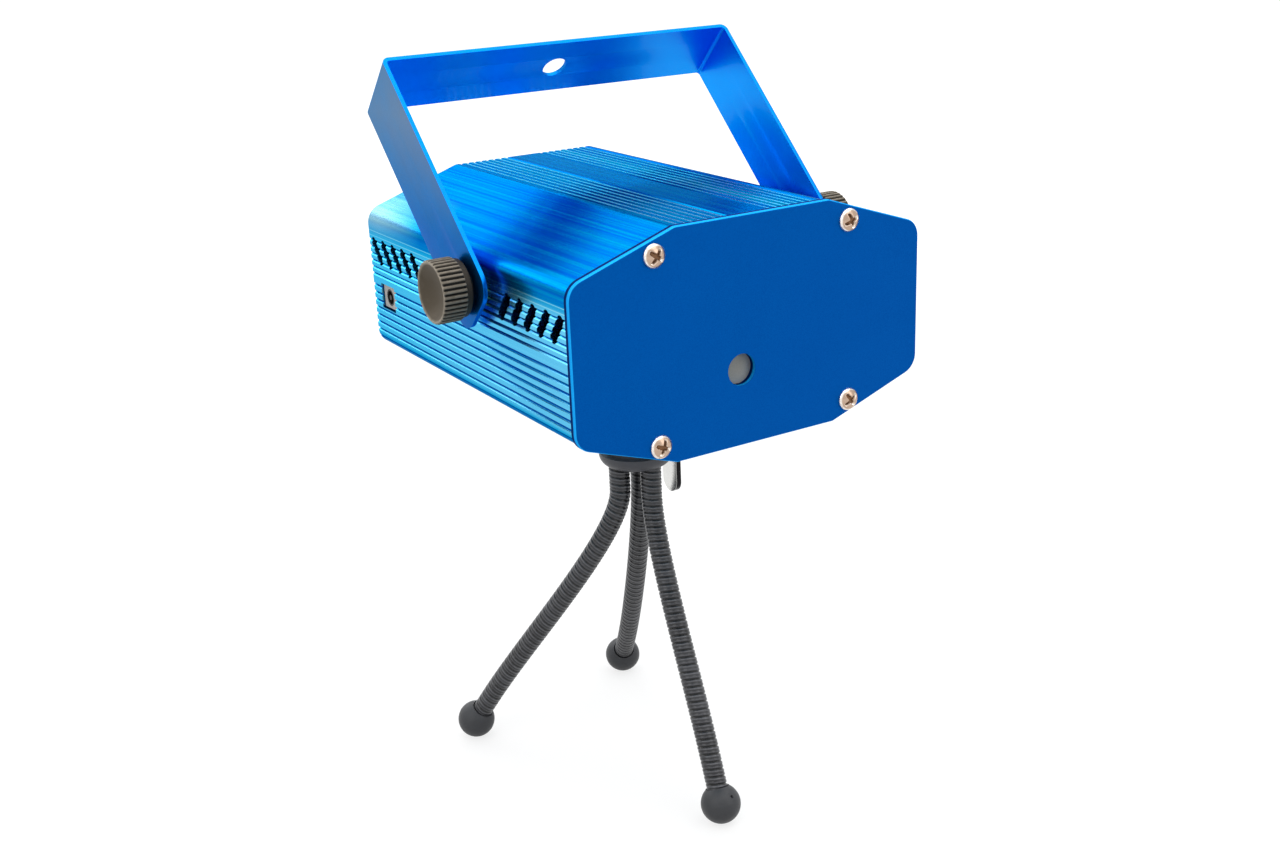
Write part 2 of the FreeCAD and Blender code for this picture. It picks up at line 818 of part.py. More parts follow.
def knob_body(name, kind, bore, seat):
    """Fluted knob on the X axis, its foot at x = 0, with a plain skirt, a dished face and a blind bore."""
    radius, length, face = f"{kind}_radius", f"{kind}_length", f"{kind}_face"
    collar, rise = f"{kind}_collar", f"{kind}_collar_rise"
    skirt, skirt_rise = f"{kind}_skirt", f"{kind}_skirt_rise"
    body = new_body(name)
    profile = sketch_on(body, "XY_Plane")
    add_loop(profile, [(seat, "0"), (seat, bore), ("0", bore), ("0", collar), (rise, collar),
                       (rise, skirt), (skirt_rise, skirt), (skirt_rise, radius),
                       (length, radius), (length, face), (f"{length} - {kind}_dish", "0")])
    turned = body.newObject("PartDesign::Revolution", "turned")
    turned.Profile = profile
    turned.ReferenceAxis = (origin_feature(body, "X_Axis"), [""])
    turned.Angle = 360

    def at_rim(edge):
        ring = edge.Curve.TypeId == "Part::GeomCircle"
        at_end = ring and abs(edge.Curve.Center.x - value(length)) < CLOSE
        return at_end and edge.Curve.Radius > value(face) + CLOSE
    round_edges(body, f"{kind}_rim_round", at_rim)
    groove = sketch_on(body, "YZ_Plane")
    add_circle(groove, "flute_radius", (radius, "0"))
    ring_of(body, pocket(body, groove, backwards=True), "X_Axis", f"{kind}_flutes")
    return body


def clamps():
    """Threaded inserts, washers, studs and knobs on both sides of the bracket's pivot."""
    pivot = ("0", "front_y + pivot_y", "stand_height + pivot_z")
    inserts = []
    washers = []
    for side, sign in (("left", "-"), ("right", "")):
        def run(radius, inner, outer, sign=sign):
            low = inner if sign == "" else f"-({outer})"
            return rod(radius, f"({outer}) - ({inner})", (low, "0", "0"), "x")
        face = "body_width/2"
        barrel = run("insert_radius", f"{face} - insert_length", face)
        flange = run("insert_flange", "inner_half - insert_flange_thick", "inner_half")
        inserts.append(cut(fuse(barrel, flange),
                           run("stud_radius + running_gap", f"{face} - insert_length", face)))
        washers.append(cut(run("washer_radius", face, f"{face} + washer_thick"),
                           run("stud_radius + pivot_gap", face, f"{face} + washer_thick")))
        low = "-(bracket_half + stud_seat)" if sign else "bracket_half - stud_reach"
        stud = rod("stud_radius", "stud_reach + stud_seat", (low, "0", "0"), "x")
        node(f"clamp_stud_{side}", stud, shifted((low, "0", "0"), pivot), TURNS["x"])
        knob = knob_body(f"clamp_knob_{side}", "knob", "stud_radius", "stud_seat")
        turn = FreeCAD.Rotation(Z_AXIS, 180 if sign else 0)
        node(f"clamp_knob_{side}", knob, shifted((f"{sign}(bracket_half)", "0", "0"), pivot), turn)
    node("pivot_inserts", group(*inserts), pivot)
    node("pivot_washers", group(*washers), pivot)


# Inside the housing
def window():
    """Frosted disc behind the aperture."""
    disc = rod("aperture_radius + window_lap", "window_thick", ("beam_x", "plate_thick", "beam_z"), "y")
    node("aperture_window", disc, shifted(("beam_x", "plate_thick", "beam_z"), HOUSING))


def electronics():
    """Control board with its inlet, chips, capacitors and microphone."""
    width = "2*(inner_half - guide_gap)"
    low = ("-(inner_half - guide_gap)", "board_rear - board_length", "board_z")
    node("control_board", box(low, (width, "board_length", "board_thick")), shifted(low, HOUSING))

    face = "-(shell_half - jack_inset)"
    case = box((face, "jack_y - jack_width/2", "board_top"), ("jack_depth", "jack_width", "jack_height"))
    mouth = (face, "jack_y", "board_top + jack_height/2")
    socket = cut(case, rod("jack_hole", "jack_hole_depth", mouth, "x"))
    node("dc_jack", fuse(socket, rod("jack_pin", "jack_hole_depth", mouth, "x")), HOUSING)

    cans = []
    chips = []
    for index in (0, 1):
        x = f"mic_x - capacitor_spacing*{index + 1}"
        y = "board_rear - board_length/2"
        cans.append(rod("capacitor_radius", "capacitor_rise", (x, y, "board_top"), "z"))
        x = f"-chip_spacing*{index}"
        chips.append(box((x, "board_rear - board_length + chip_width/2", "board_top"),
                         ("chip_length", "chip_width", "chip_rise")))
    node("capacitors", group(*cans), HOUSING)
    node("driver_chips", group(*chips), HOUSING)
    spot = ("mic_x", "board_rear - mic_rise", "board_top + mic_radius")
    node("microphone", rod("mic_radius", "mic_rise", spot, "y"), shifted(spot, HOUSING))


def optics():
    """Bench with two laser modules, the mirror that joins their beams, and the motor bracket."""
    low = ("-(bench_half)", "bench_front", "bench_base")
    node("optical_bench", box(low, ("2*bench_half", "bench_length", "bench_thick")), shifted(low, HOUSING))
    posts = [rod("bench_post", "bench_lift", (f"{side}bench_post_x", y, "inner_floor"), "z")
             for side in ("", "-")
             for y in ("bench_front + bench_post_inset", "bench_front + bench_length - bench_post_inset")]
    node("bench_standoffs", group(*posts), HOUSING)

    clamp_side = "2*(module_radius + clamp_wall)"
    green_low = "green_front + clamp_setback"
    green_body = rod("module_radius", "module_length", ("beam_x", "green_front", "beam_z"), "y")
    green_mouth = rod("module_mouth", "module_mouth_depth", ("beam_x", "green_front", "beam_z"), "y")
    node("green_laser_module", cut(green_body, green_mouth), HOUSING)
    block = box(("beam_x - module_radius - clamp_wall", green_low, "bench_top"),
                (clamp_side, "clamp_length", "clamp_rise"))
    bore = rod("module_radius", "clamp_length", ("beam_x", green_low, "beam_z"), "y")
    node("green_laser_clamp", cut(block, bore), HOUSING)

    red_low = "red_end + clamp_setback"
    red_body = rod("module_radius", "module_length", ("red_end", "red_y", "beam_z"), "x")
    red_mouth = rod("module_mouth", "module_mouth_depth", ("red_end", "red_y", "beam_z"), "x")
    node("red_laser_module", cut(red_body, red_mouth), HOUSING)
    block = box((red_low, "red_y - module_radius - clamp_wall", "bench_top"),
                ("clamp_length", clamp_side, "clamp_rise"))
    bore = rod("module_radius", "clamp_length", (red_low, "red_y", "beam_z"), "x")
    node("red_laser_clamp", cut(block, bore), HOUSING)

    diagonal = FreeCAD.Rotation(Z_AXIS, 45)
    corner = shifted(("beam_x", "red_y", "0"), HOUSING)
    glass = box(("-mirror_side/2", "-mirror_thick/2", "beam_z - mirror_side/2"),
                ("mirror_side", "mirror_thick", "mirror_side"))
    post = box(("-mirror_side/2", "-mirror_post/2", "bench_top"),
               ("mirror_side", "mirror_post", "beam_z - mirror_side/2 - bench_top"))
    node("combiner_mirror", group(glass), corner, diagonal)
    node("mirror_holder", group(post), corner, diagonal)


def grating():
    """Motor on its bracket, with a shaft that turns the grating disc across the beam."""
    spin = ("beam_x", "0", "grating_z")
    back = "motor_plate_y + bracket_plate"
    rise = "grating_z - bench_top + motor_plate_rise"
    left = "beam_x - motor_plate_width/2"
    upright = box((left, "motor_plate_y", "bench_top"), ("motor_plate_width", "bracket_plate", rise))
    foot = box((left, "motor_plate_y", "bench_top"), ("motor_plate_width", "motor_foot", "bracket_plate"))
    passage = rod("beam_hole", "bracket_plate", ("beam_x", "motor_plate_y", "beam_z"), "y")
    nose = rod("motor_shaft + motor_nose_gap", "bracket_plate", ("beam_x", "motor_plate_y", "grating_z"), "y")
    node("motor_bracket", cut(fuse(upright, foot), passage, nose), HOUSING)
    can = rod("motor_radius", "motor_length", ("beam_x", back, "grating_z"), "y")
    bearing = rod("motor_shaft + running_gap", "motor_shaft_seat", ("beam_x", back, "grating_z"), "y")
    node("grating_motor", cut(can, bearing), HOUSING)
    shaft_low = (spin[0], "grating_y", spin[2])
    reach = f"{back} + motor_shaft_seat - grating_y"
    node("motor_shaft", rod("motor_shaft", reach, shaft_low, "y"), shifted(shaft_low, HOUSING))
    disc = rod("grating_radius", "grating_thick", shaft_low, "y")
    boss = rod("grating_boss", "grating_thick + grating_boss_rise", shaft_low, "y")
    hole = rod("motor_shaft", "grating_thick + grating_boss_rise", shaft_low, "y")
    node("grating_disc", cut(fuse(disc, boss), hole), HOUSING)


# Behind and on the rear plate
def controls():
    """Mode switch with its slider, and the speed control with its dial."""
    case = box(("switch_x - switch_width/2", "rear_inner - switch_depth", "switch_z - switch_height/2"),
               ("switch_width", "switch_depth", "switch_height"))
    room_depth = "slider_root + slider_gap"
    room_low = ("switch_x - slot_width/2", f"rear_inner - ({room_depth})", "switch_z - slot_height/2")
    room = box(room_low, ("slot_width", room_depth, "slot_height"))
    node("mode_switch_body", cut(case, room), HOUSING)
    low = ("switch_x - slider_width/2", "rear_inner - slider_root", "switch_z - slider_height/2")
    slider = box(low, ("slider_width", "slider_root + plate_thick + slider_stand", "slider_height"))
    node("mode_switch_slider", slider, shifted(low, HOUSING))

    low = ("pot_x", "rear_inner - pot_seat", "pot_z")
    case = rod("pot_radius", "pot_depth", ("pot_x", "rear_inner - pot_depth", "pot_z"), "y")
    node("speed_pot", cut(case, rod("pot_shaft + running_gap", "pot_seat", low, "y")), HOUSING)
    shaft = rod("pot_shaft", "pot_seat + plate_thick + dial_gap + dial_seat", low, "y")
    node("pot_shaft", shaft, shifted(low, HOUSING))
    dial = knob_body("speed_knob", "dial", "pot_shaft", "dial_seat")
    foot = shifted(("pot_x", "body_length + dial_gap", "pot_z"), HOUSING)
    node("speed_knob", dial, foot, FreeCAD.Rotation(Z_AXIS, 90))


def fan():
    """Square fan frame with struts and a bladed rotor on its shaft."""
    corner = ("fan_x - fan_side/2", "fan_front", "fan_z - fan_side/2")
    frame = cut(box(corner, ("fan_side", "fan_depth", "fan_side")),
                rod("fan_bore", "fan_depth", ("fan_x", "fan_front", "fan_z"), "y"))
    cup = rod("fan_cup", "fan_cup_thick", ("fan_x", "fan_front", "fan_z"), "y")
    across = box(("fan_x - fan_side/2", "fan_front", "fan_z - fan_strut/2"),
                 ("fan_side", "fan_cup_thick", "fan_strut"))
    upright = box(("fan_x - fan_strut/2", "fan_front", "fan_z - fan_side/2"),
                  ("fan_strut", "fan_cup_thick", "fan_side"))
    bearing = rod("fan_shaft + running_gap", "fan_cup_thick", ("fan_x", "fan_front", "fan_z"), "y")
    holes = [rod("fan_screw + running_gap", "fan_depth", (x, "fan_front", z), "y")
             for x, z in fan_screw_spots()]
    node("fan_frame", cut(fuse(frame, cup, across, upright), bearing, *holes), HOUSING)

    start = ("0", "rotor_front", "0")
    blades = []
    for index in range(int(value("fan_blades"))):
        blade = doc.addObject("Part::Box", "blade")
        bind(blade, Length="fan_bore", Width="blade_thick", Height="2*rotor_length")
        turn = f"{index}*360/fan_blades"
        blade.setExpression("Placement", formula(
            f"placement(vector(0; rotor_front + rotor_length/2; 0); rotation(vector(0; 1; 0); {turn}))"
            " * placement(vector(0; 0; 0); rotation(vector(1; 0; 0); blade_pitch))"
            " * placement(vector(0; -blade_thick/2; -rotor_length); rotation(vector(1; 0; 0); 0))"))
        blades.append(blade)
    swept = common(fuse(*blades), rod("fan_bore - blade_tip_gap", "rotor_length", start, "y"))
    hub = rod("fan_hub", "rotor_length", start, "y")
    pin = rod("fan_shaft", "fan_cup_thick + fan_axial_gap + rotor_length/2", ("0", "fan_front", "0"), "y")
    node("fan_rotor", fuse(swept, hub, pin), shifted(("fan_x", "0", "fan_z"), HOUSING))


# Tripod head, measured from the tilt pivot
def tripod_head():
    """Bush, stud, platform, clevis with its bolt, hub with its pan screw, and the lock lever."""
    floor = ("0", "body_length/2", "0")
    top = shifted(floor, HOUSING)
    thread = rod("tripod_stud + tripod_stud_gap", "inner_floor + bush_flange_thick", ("0", "0", "0"), "z")
    barrel = rod("bush_radius", "inner_floor + bush_flange_thick", ("0", "0", "0"), "z")
    flange = rod("bush_flange", "bush_flange_thick", ("0", "0", "inner_floor"), "z")
    node("tripod_bush", cut(fuse(barrel, flange), thread), top)
    stud_low = ("0", "0", "-pad_thick - platform_thick")
    stud_length = "pad_thick + platform_thick + stud_rise"
    node("tripod_stud", rod("tripod_stud", stud_length, stud_low, "z"), shifted(stud_low, top))
    pad_disc = rod("platform_radius", "pad_thick", ("0", "0", "-pad_thick"), "z")
    node("platform_pad", cut(pad_disc, rod("tripod_stud", "pad_thick", ("0", "0", "-pad_thick"), "z")), top)

    disc = rod("platform_radius", "platform_thick", ("0", "0", "platform_rise"), "z")
    web = box(("-tongue_thick/2", "-tongue_radius", "0"),
              ("tongue_thick", "2*tongue_radius", "platform_rise"))
    knuckle = rod("tongue_radius", "tongue_thick", ("-tongue_thick/2", "0", "0"), "x")
    eye = rod("bolt_radius + running_gap", "tongue_thick", ("-tongue_thick/2", "0", "0"), "x")
    seat = rod("tripod_stud", "platform_thick", ("0", "0", "platform_rise"), "z")
    node("tripod_platform", cut(fuse(disc, web, knuckle), eye, seat), TILT_PIVOT)

    base = rod("clevis_radius", "clevis_floor", ("0", "0", "-hub_top"), "z")
    pieces = [base]
    for low in ("ear_inner", "-(ear_outer)"):
        pieces.append(box((low, "-tongue_radius", "-(clevis_top)"),
                          ("ear_thick", "2*tongue_radius", "clevis_top")))
        pieces.append(rod("tongue_radius", "ear_thick", (low, "0", "0"), "x"))
    bolt_hole = rod("bolt_radius", "2*(ear_outer)", ("-(ear_outer)", "0", "0"), "x")
    pan_hole = rod("pan_screw + running_gap", "clevis_floor", ("0", "0", "-hub_top"), "z")
    head_low = ("0", "0", "-(clevis_top) - pan_screw_head_rise")
    pan_seat = rod("pan_screw_head + pivot_gap", "pan_screw_head_rise", head_low, "z")
    node("tripod_clevis", cut(fuse(*pieces), bolt_hole, pan_hole, pan_seat), TILT_PIVOT)

    head = rod("bolt_head", "bolt_head_rise", ("-(ear_outer) - bolt_head_rise", "0", "0"), "x")
    shank = rod("bolt_radius", "ear_outer + lever_outer", ("-(ear_outer)", "0", "0"), "x")
    node("tilt_bolt", fuse(head, shank), TILT_PIVOT)

    head = rod("pan_screw_head", "pan_screw_head_rise", head_low, "z")
    reach = "clevis_floor - pan_screw_head_rise + pan_screw_seat"
    shank = rod("pan_screw", reach, ("0", "0", "-hub_top - pan_screw_seat"), "z")
    node("pan_screw", fuse(head, shank), TILT_PIVOT)

    boss = rod("lever_boss", "lever_outer - ear_outer - ear_gap", ("ear_outer + ear_gap", "0", "0"), "x")
    tab = box(("lever_inner", "-lever_width/2", "-lever_length"),
              ("lever_tab", "lever_width", "lever_length"))
    tip = rod("lever_width/2", "lever_tab", ("lever_inner", "0", "-lever_length"), "x")
    eye = rod("bolt_radius + running_gap", "lever_outer", ("0", "0", "0"), "x")
    node("lock_lever", cut(fuse(boss, tab, tip), eye), TILT_PIVOT)


def tripod_hub():
    """Bowl with a rounded foot, the pan screw's hole and a socket for each leg."""
    body = new_body("tripod_hub")
    rim = sketch_on(body, "XY_Plane")
    add_circle(rim, "hub_radius", ("0", "0"))
    add_circle(rim, "pan_screw", ("0", "0"))
    pad(body, rim, "hub_rise")

    def at_foot(edge):
        ring = edge.Curve.TypeId == "Part::GeomCircle"
        return ring and abs(edge.Curve.Center.z) < CLOSE and edge.Curve.Radius > value("pan_screw")
    round_edges(body, "hub_round", at_foot)
    sockets = sketch_on(body, "XY_Plane")
    for side in LEGS:
        turn = f"{side}_hub_angle"
        add_circle(sockets, "leg_hole", (f"leg_ring*cos({turn})", f"leg_ring*sin({turn})"))
    pocket(body, sockets, "leg_socket", backwards=True)
    node("tripod_hub", body, ("0", "axis_y", "hub_bottom_z"))


# Legs and feet
def leg_frame(side):
    """Ends of a leg's route, its end direction and the steady cross direction of its vertical plane."""
    hub_turn = math.radians(value(f"{side}_hub_angle"))
    foot_turn = math.radians(value(f"{side}_foot_angle"))
    axis = FreeCAD.Vector(0, value("axis_y"), 0)
    ring = FreeCAD.Vector(math.cos(hub_turn), math.sin(hub_turn), 0) * value("leg_ring")
    top = axis + ring + Z_AXIS * value("hub_bottom_z + leg_socket")
    out = FreeCAD.Vector(math.cos(foot_turn), math.sin(foot_turn), 0) * value(f"{side}_reach")
    centre = axis + out + Z_AXIS * value("foot_radius")
    level = FreeCAD.Vector(centre.x - top.x, centre.y - top.y, 0).normalize()
    lean = math.radians(value(f"{side}_lean"))
    heading = level * math.sin(lean) - Z_AXIS * math.cos(lean)
    return top, centre, heading, level.cross(Z_AXIS)


def leg_route(side):
    """Points along a leg: straight out of the hub, one smooth curve, straight into the foot."""
    top, centre, heading, _ = leg_frame(side)
    bend_start = top - Z_AXIS * value("leg_socket + leg_drop")
    bottom = centre - heading * (value("foot_radius") - value("foot_socket"))
    bend_end = centre - heading * value("foot_radius + leg_straight")
    first = bend_start - Z_AXIS * value(f"{side}_pull")
    second = bend_end - heading * value(f"{side}_push")
    points = [top]
    for step in range(ROUTE_STEPS + 1):
        along_curve = step / ROUTE_STEPS
        left = 1 - along_curve
        points.append(bend_start * left**3 + first * (3 * left**2 * along_curve)
                      + second * (3 * left * along_curve**2) + bend_end * along_curve**3)
    points.append(bottom)
    return points


def station(points, lengths, distance):
    """Point and heading on a route at a distance from its start."""
    index = next(i for i, reach in enumerate(lengths[1:]) if distance <= reach + CLOSE)
    start, end = points[index], points[index + 1]
    run = lengths[index + 1] - lengths[index]
    return start + (end - start) * ((distance - lengths[index]) / run), (end - start).normalize()


def ring_wire(centre, heading, steady, radius):
    """Circle square to the route, with its own X axis along the steady direction."""
    turn = FreeCAD.Rotation(steady, heading.cross(steady), heading, "ZXY")
    circle = Part.makeCircle(radius)
    circle.Placement = FreeCAD.Placement(centre, turn)
    return Part.Wire([circle])


def gooseneck(side):
    """Ribbed, hollow leg: a ruled skin through four circles for each rib, round a plain bore."""
    steady = leg_frame(side)[3]
    points = leg_route(side)
    lengths = [0.0]
    for start, end in zip(points, points[1:]):
        lengths.append(lengths[-1] + (end - start).Length)
    whole = lengths[-1]
    ribs = round(whole / value("rib_step"))
    step = whole / ribs
    slope, land = value("rib_slope"), value("rib_land")
    valley, crest = value("leg_valley"), value("leg_radius")

    def ring(distance, radius):
        centre, heading = station(points, lengths, distance)
        return ring_wire(centre, heading, steady, radius)
    skin = [ring(0.0, valley)]
    for index in range(ribs):
        start = index * step + land / 2
        end = (index + 1) * step - land / 2
        skin += [ring(start, valley), ring(start + slope, crest), ring(end - slope, crest), ring(end, valley)]
    skin.append(ring(whole, valley))
    lining = [ring(index * step, value("leg_bore")) for index in range(ribs + 1)]
    print(f"gooseneck_{side}: {ribs} ribs on {whole:.1f} mm")
    item = doc.addObject("Part::Feature", f"gooseneck_{side}")
    item.Shape = Part.makeLoft(skin, True, True).cut(Part.makeLoft(lining, True, True))
    return item


def legs():
    """Three goosenecks, each pressed into its ball foot."""
    for side in LEGS:
        node(f"gooseneck_{side}", gooseneck(side))
        heading = leg_frame(side)[2]
        socket = rod("leg_hole", "foot_radius", ("0", "0", "foot_radius - foot_socket"), "z")
        foot = cut(ball("foot_radius", ("0", "0", "0")), socket)
        turn = f"{side}_foot_angle"
        spot = (f"{side}_reach*cos({turn})", f"axis_y + {side}_reach*sin({turn})", "foot_radius")
        node(f"ball_foot_{side}", foot, spot, FreeCAD.Rotation(Z_AXIS, heading * -1))


def build():
    """Make every sub-part."""
    housing_shell()
    front_plate()
    rear_plate()
    screw_sets()
    bracket()
    clamps()
    window()
    electronics()
    optics()
    grating()
    controls()
    fan()
    tripod_head()
    tripod_hub()
    legs()


def write():
    """Check every object and write one file for each sub-part."""
    doc.recompute()
    for item in doc.Objects:
        if "Invalid" in item.State or "Error" in item.State:
            raise RuntimeError(f"{item.Label} failed: {item.State}")
    os.makedirs("parts", exist_ok=True)
    for label, item in NODES.items():
        shape = item.Shape
        if shape.isNull() or not shape.isValid() or not shape.Solids:
            raise RuntimeError(f"{label} has no valid solid")
        shape.exportStep(f"parts/{label}.step")


build()
write()
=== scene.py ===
"""Laser show projector on a gooseneck tripod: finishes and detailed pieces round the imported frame.

Sizes in the classes are millimetres. Every mesh is made in metres, in the frame's own axes: +Z up, the beam
towards -Y, and the power inlet on the -X side.
"""

import json
import logging
import math
from collections.abc import Callable, Mapping, Sequence
from dataclasses import dataclass, field, replace
from enum import Enum
from functools import cached_property, reduce

import bmesh
import bpy
from mathutils import Matrix, Vector


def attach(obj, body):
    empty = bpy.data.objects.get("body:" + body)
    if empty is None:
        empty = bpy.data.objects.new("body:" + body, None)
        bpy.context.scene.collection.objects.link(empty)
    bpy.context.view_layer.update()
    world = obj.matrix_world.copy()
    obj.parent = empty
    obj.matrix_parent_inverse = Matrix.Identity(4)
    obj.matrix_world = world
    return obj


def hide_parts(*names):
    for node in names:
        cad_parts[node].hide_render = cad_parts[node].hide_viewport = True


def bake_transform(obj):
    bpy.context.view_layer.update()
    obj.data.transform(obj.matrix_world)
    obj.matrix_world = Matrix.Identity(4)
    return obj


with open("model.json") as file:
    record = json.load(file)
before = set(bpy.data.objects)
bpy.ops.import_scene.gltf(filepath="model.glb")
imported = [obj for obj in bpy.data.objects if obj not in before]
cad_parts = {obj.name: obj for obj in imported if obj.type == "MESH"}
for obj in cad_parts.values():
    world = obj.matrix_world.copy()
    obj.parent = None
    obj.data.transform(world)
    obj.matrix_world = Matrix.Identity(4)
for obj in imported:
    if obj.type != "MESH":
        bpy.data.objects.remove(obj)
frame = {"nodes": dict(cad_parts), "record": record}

LOG = logging.getLogger("projector")
MM = 0.001
FULL_TURN = 2 * math.pi
SHARP_ANGLE = math.radians(35)
WELD = 1e-7
WELD_IN_MM = 1e-5
NUMBER = "NodeSocketFloat"
VECTOR = "NodeSocketVector"
COUNT = "NodeSocketInt"
GEOMETRY = "NodeSocketGeometry"
MATERIAL = "NodeSocketMaterial"

Colour = tuple[float, float, float]
Point = tuple[float, float, float]
Span = tuple[float, float]
Socket = bpy.types.NodeSocket
Sockets = Mapping[str, Socket]
Feed = Socket | float | int | tuple
Inputs = Mapping[str | int, Feed]
Item = bpy.types.Object
Work = bmesh.types.BMesh
Filler = Callable[[Work], None]


def srgb(red: int, green: int, blue: int) -> Colour:
    """Linear colour of an 8-bit screen colour."""
    shares = (value / 255 for value in (red, green, blue))
    return tuple(s / 12.92 if s <= 0.04045 else ((s + 0.055) / 1.055) ** 2.4 for s in shares)


def smooth_step(low: float, high: float, value: float) -> float:
    """Share of the way from low to high, eased at both ends."""
    share = min(1.0, max(0.0, (value - low) / (high - low)))
    return share * share * (3 - 2 * share)


class NodeSheet:
    """A node tree with short calls that add, feed and join its nodes."""

    def __init__(self, tree: bpy.types.NodeTree) -> None:
        """Keep the tree to work on."""
        self.tree = tree

    def add(self, kind: str, inputs: Inputs | None = None, **settings: object) -> bpy.types.Node:
        """Add a node.

        Args:
            kind: The node's type name.
            inputs: Values or sockets for its inputs, by name or index.
            **settings: The node's own properties.

        Returns:
            The new node.
        """
        node = self.tree.nodes.new(kind)
        for name, value in settings.items():
            setattr(node, name, value)
        for key, value in (inputs or {}).items():
            self.feed(node.inputs[key], value)
        return node

    def feed(self, socket: Socket, value: Feed) -> None:
        """Link a socket into an input, or set the input's own value."""
        if isinstance(value, Socket):
            self.tree.links.new(value, socket)
        elif isinstance(value, tuple) and socket.type == "RGBA" and len(value) == 3:
            socket.default_value = (*value, 1.0)
        else:
            socket.default_value = value

    def math(self, operation: str, first: Feed, second: Feed = 0.0, clamp: bool = False) -> Socket:
        """Output of a Math node, kept between 0 and 1 if it is clamped."""
        inputs = {0: first, 1: second}
        return self.add("ShaderNodeMath", inputs, operation=operation, use_clamp=clamp).outputs[0]

    def times(self, *factors: Feed) -> Socket:
        """Product of all factors."""
        return reduce(lambda first, second: self.math("MULTIPLY", first, second), factors)

    def plus(self, *terms: Feed) -> Socket:
        """Sum of all terms."""
        return reduce(lambda first, second: self.math("ADD", first, second), terms)

    def minus(self, first: Feed, second: Feed) -> Socket:
        """First number less the second."""
        return self.math("SUBTRACT", first, second)

    def apart(self, first: Feed, second: Feed) -> Socket:
        """Distance between two numbers."""
        return self.math("ABSOLUTE", self.minus(first, second))

    def vector(self, operation: str, first: Feed, second: Feed = (0.0, 0.0, 0.0)) -> Socket:
        """First output of a Vector Math node that takes two vectors."""
        return self.add("ShaderNodeVectorMath", {0: first, 1: second}, operation=operation).outputs[0]

    def scaled(self, vector: Feed, scale: Feed) -> Socket:
        """A vector times a number."""
        return self.add("ShaderNodeVectorMath", {0: vector, "Scale": scale}, operation="SCALE").outputs[0]

    def length(self, vector: Feed) -> Socket:
        """Length of a vector."""
        return self.add("ShaderNodeVectorMath", {0: vector}, operation="LENGTH").outputs["Value"]

    def mix(self, share: Feed, first: Feed, second: Feed) -> Socket:
        """Colour with a share of the second colour in the first."""
        return self.add("ShaderNodeMix", {0: share, 6: first, 7: second}, data_type="RGBA").outputs[2]

    def ranged(self, value: Feed, low: Feed, high: Feed, to_low: Feed = 0.0, to_high: Feed = 1.0) -> Socket:
        """Output of a Map Range node, clamped, that takes low and high to to_low and to_high."""
        inputs = {0: value, 1: low, 2: high, 3: to_low, 4: to_high}
        return self.add("ShaderNodeMapRange", inputs).outputs[0]

    def noise(self, **inputs: Feed) -> Socket:
        """Value of a Noise Texture node, with its inputs by name."""
        return self.add("ShaderNodeTexNoise", inputs).outputs[0]


def new_group(name: str, kind: str, inputs: Mapping[str, str], outputs: Mapping[str, str]) -> NodeSheet:
    """Start a node group.

    Args:
        name: Name of the group.
        kind: Type of its tree.
        inputs: Socket types of its inputs by name.
        outputs: Socket types of its outputs by name.

    Returns:
        The sheet of its tree, without nodes.
    """
    tree = bpy.data.node_groups.new(name, kind)
    for way, sockets in (("INPUT", inputs), ("OUTPUT", outputs)):
        for label, socket_kind in sockets.items():
            tree.interface.new_socket(name=label, in_out=way, socket_type=socket_kind)
    return NodeSheet(tree)


class Effect(Enum):
    """Surface effects that several finishes share, each one shader node group."""

    STREAKS = "drawn_streaks"
    GRAIN = "fine_grain"
    MARKS = "handling_marks"
    WEAR = "edge_wear"


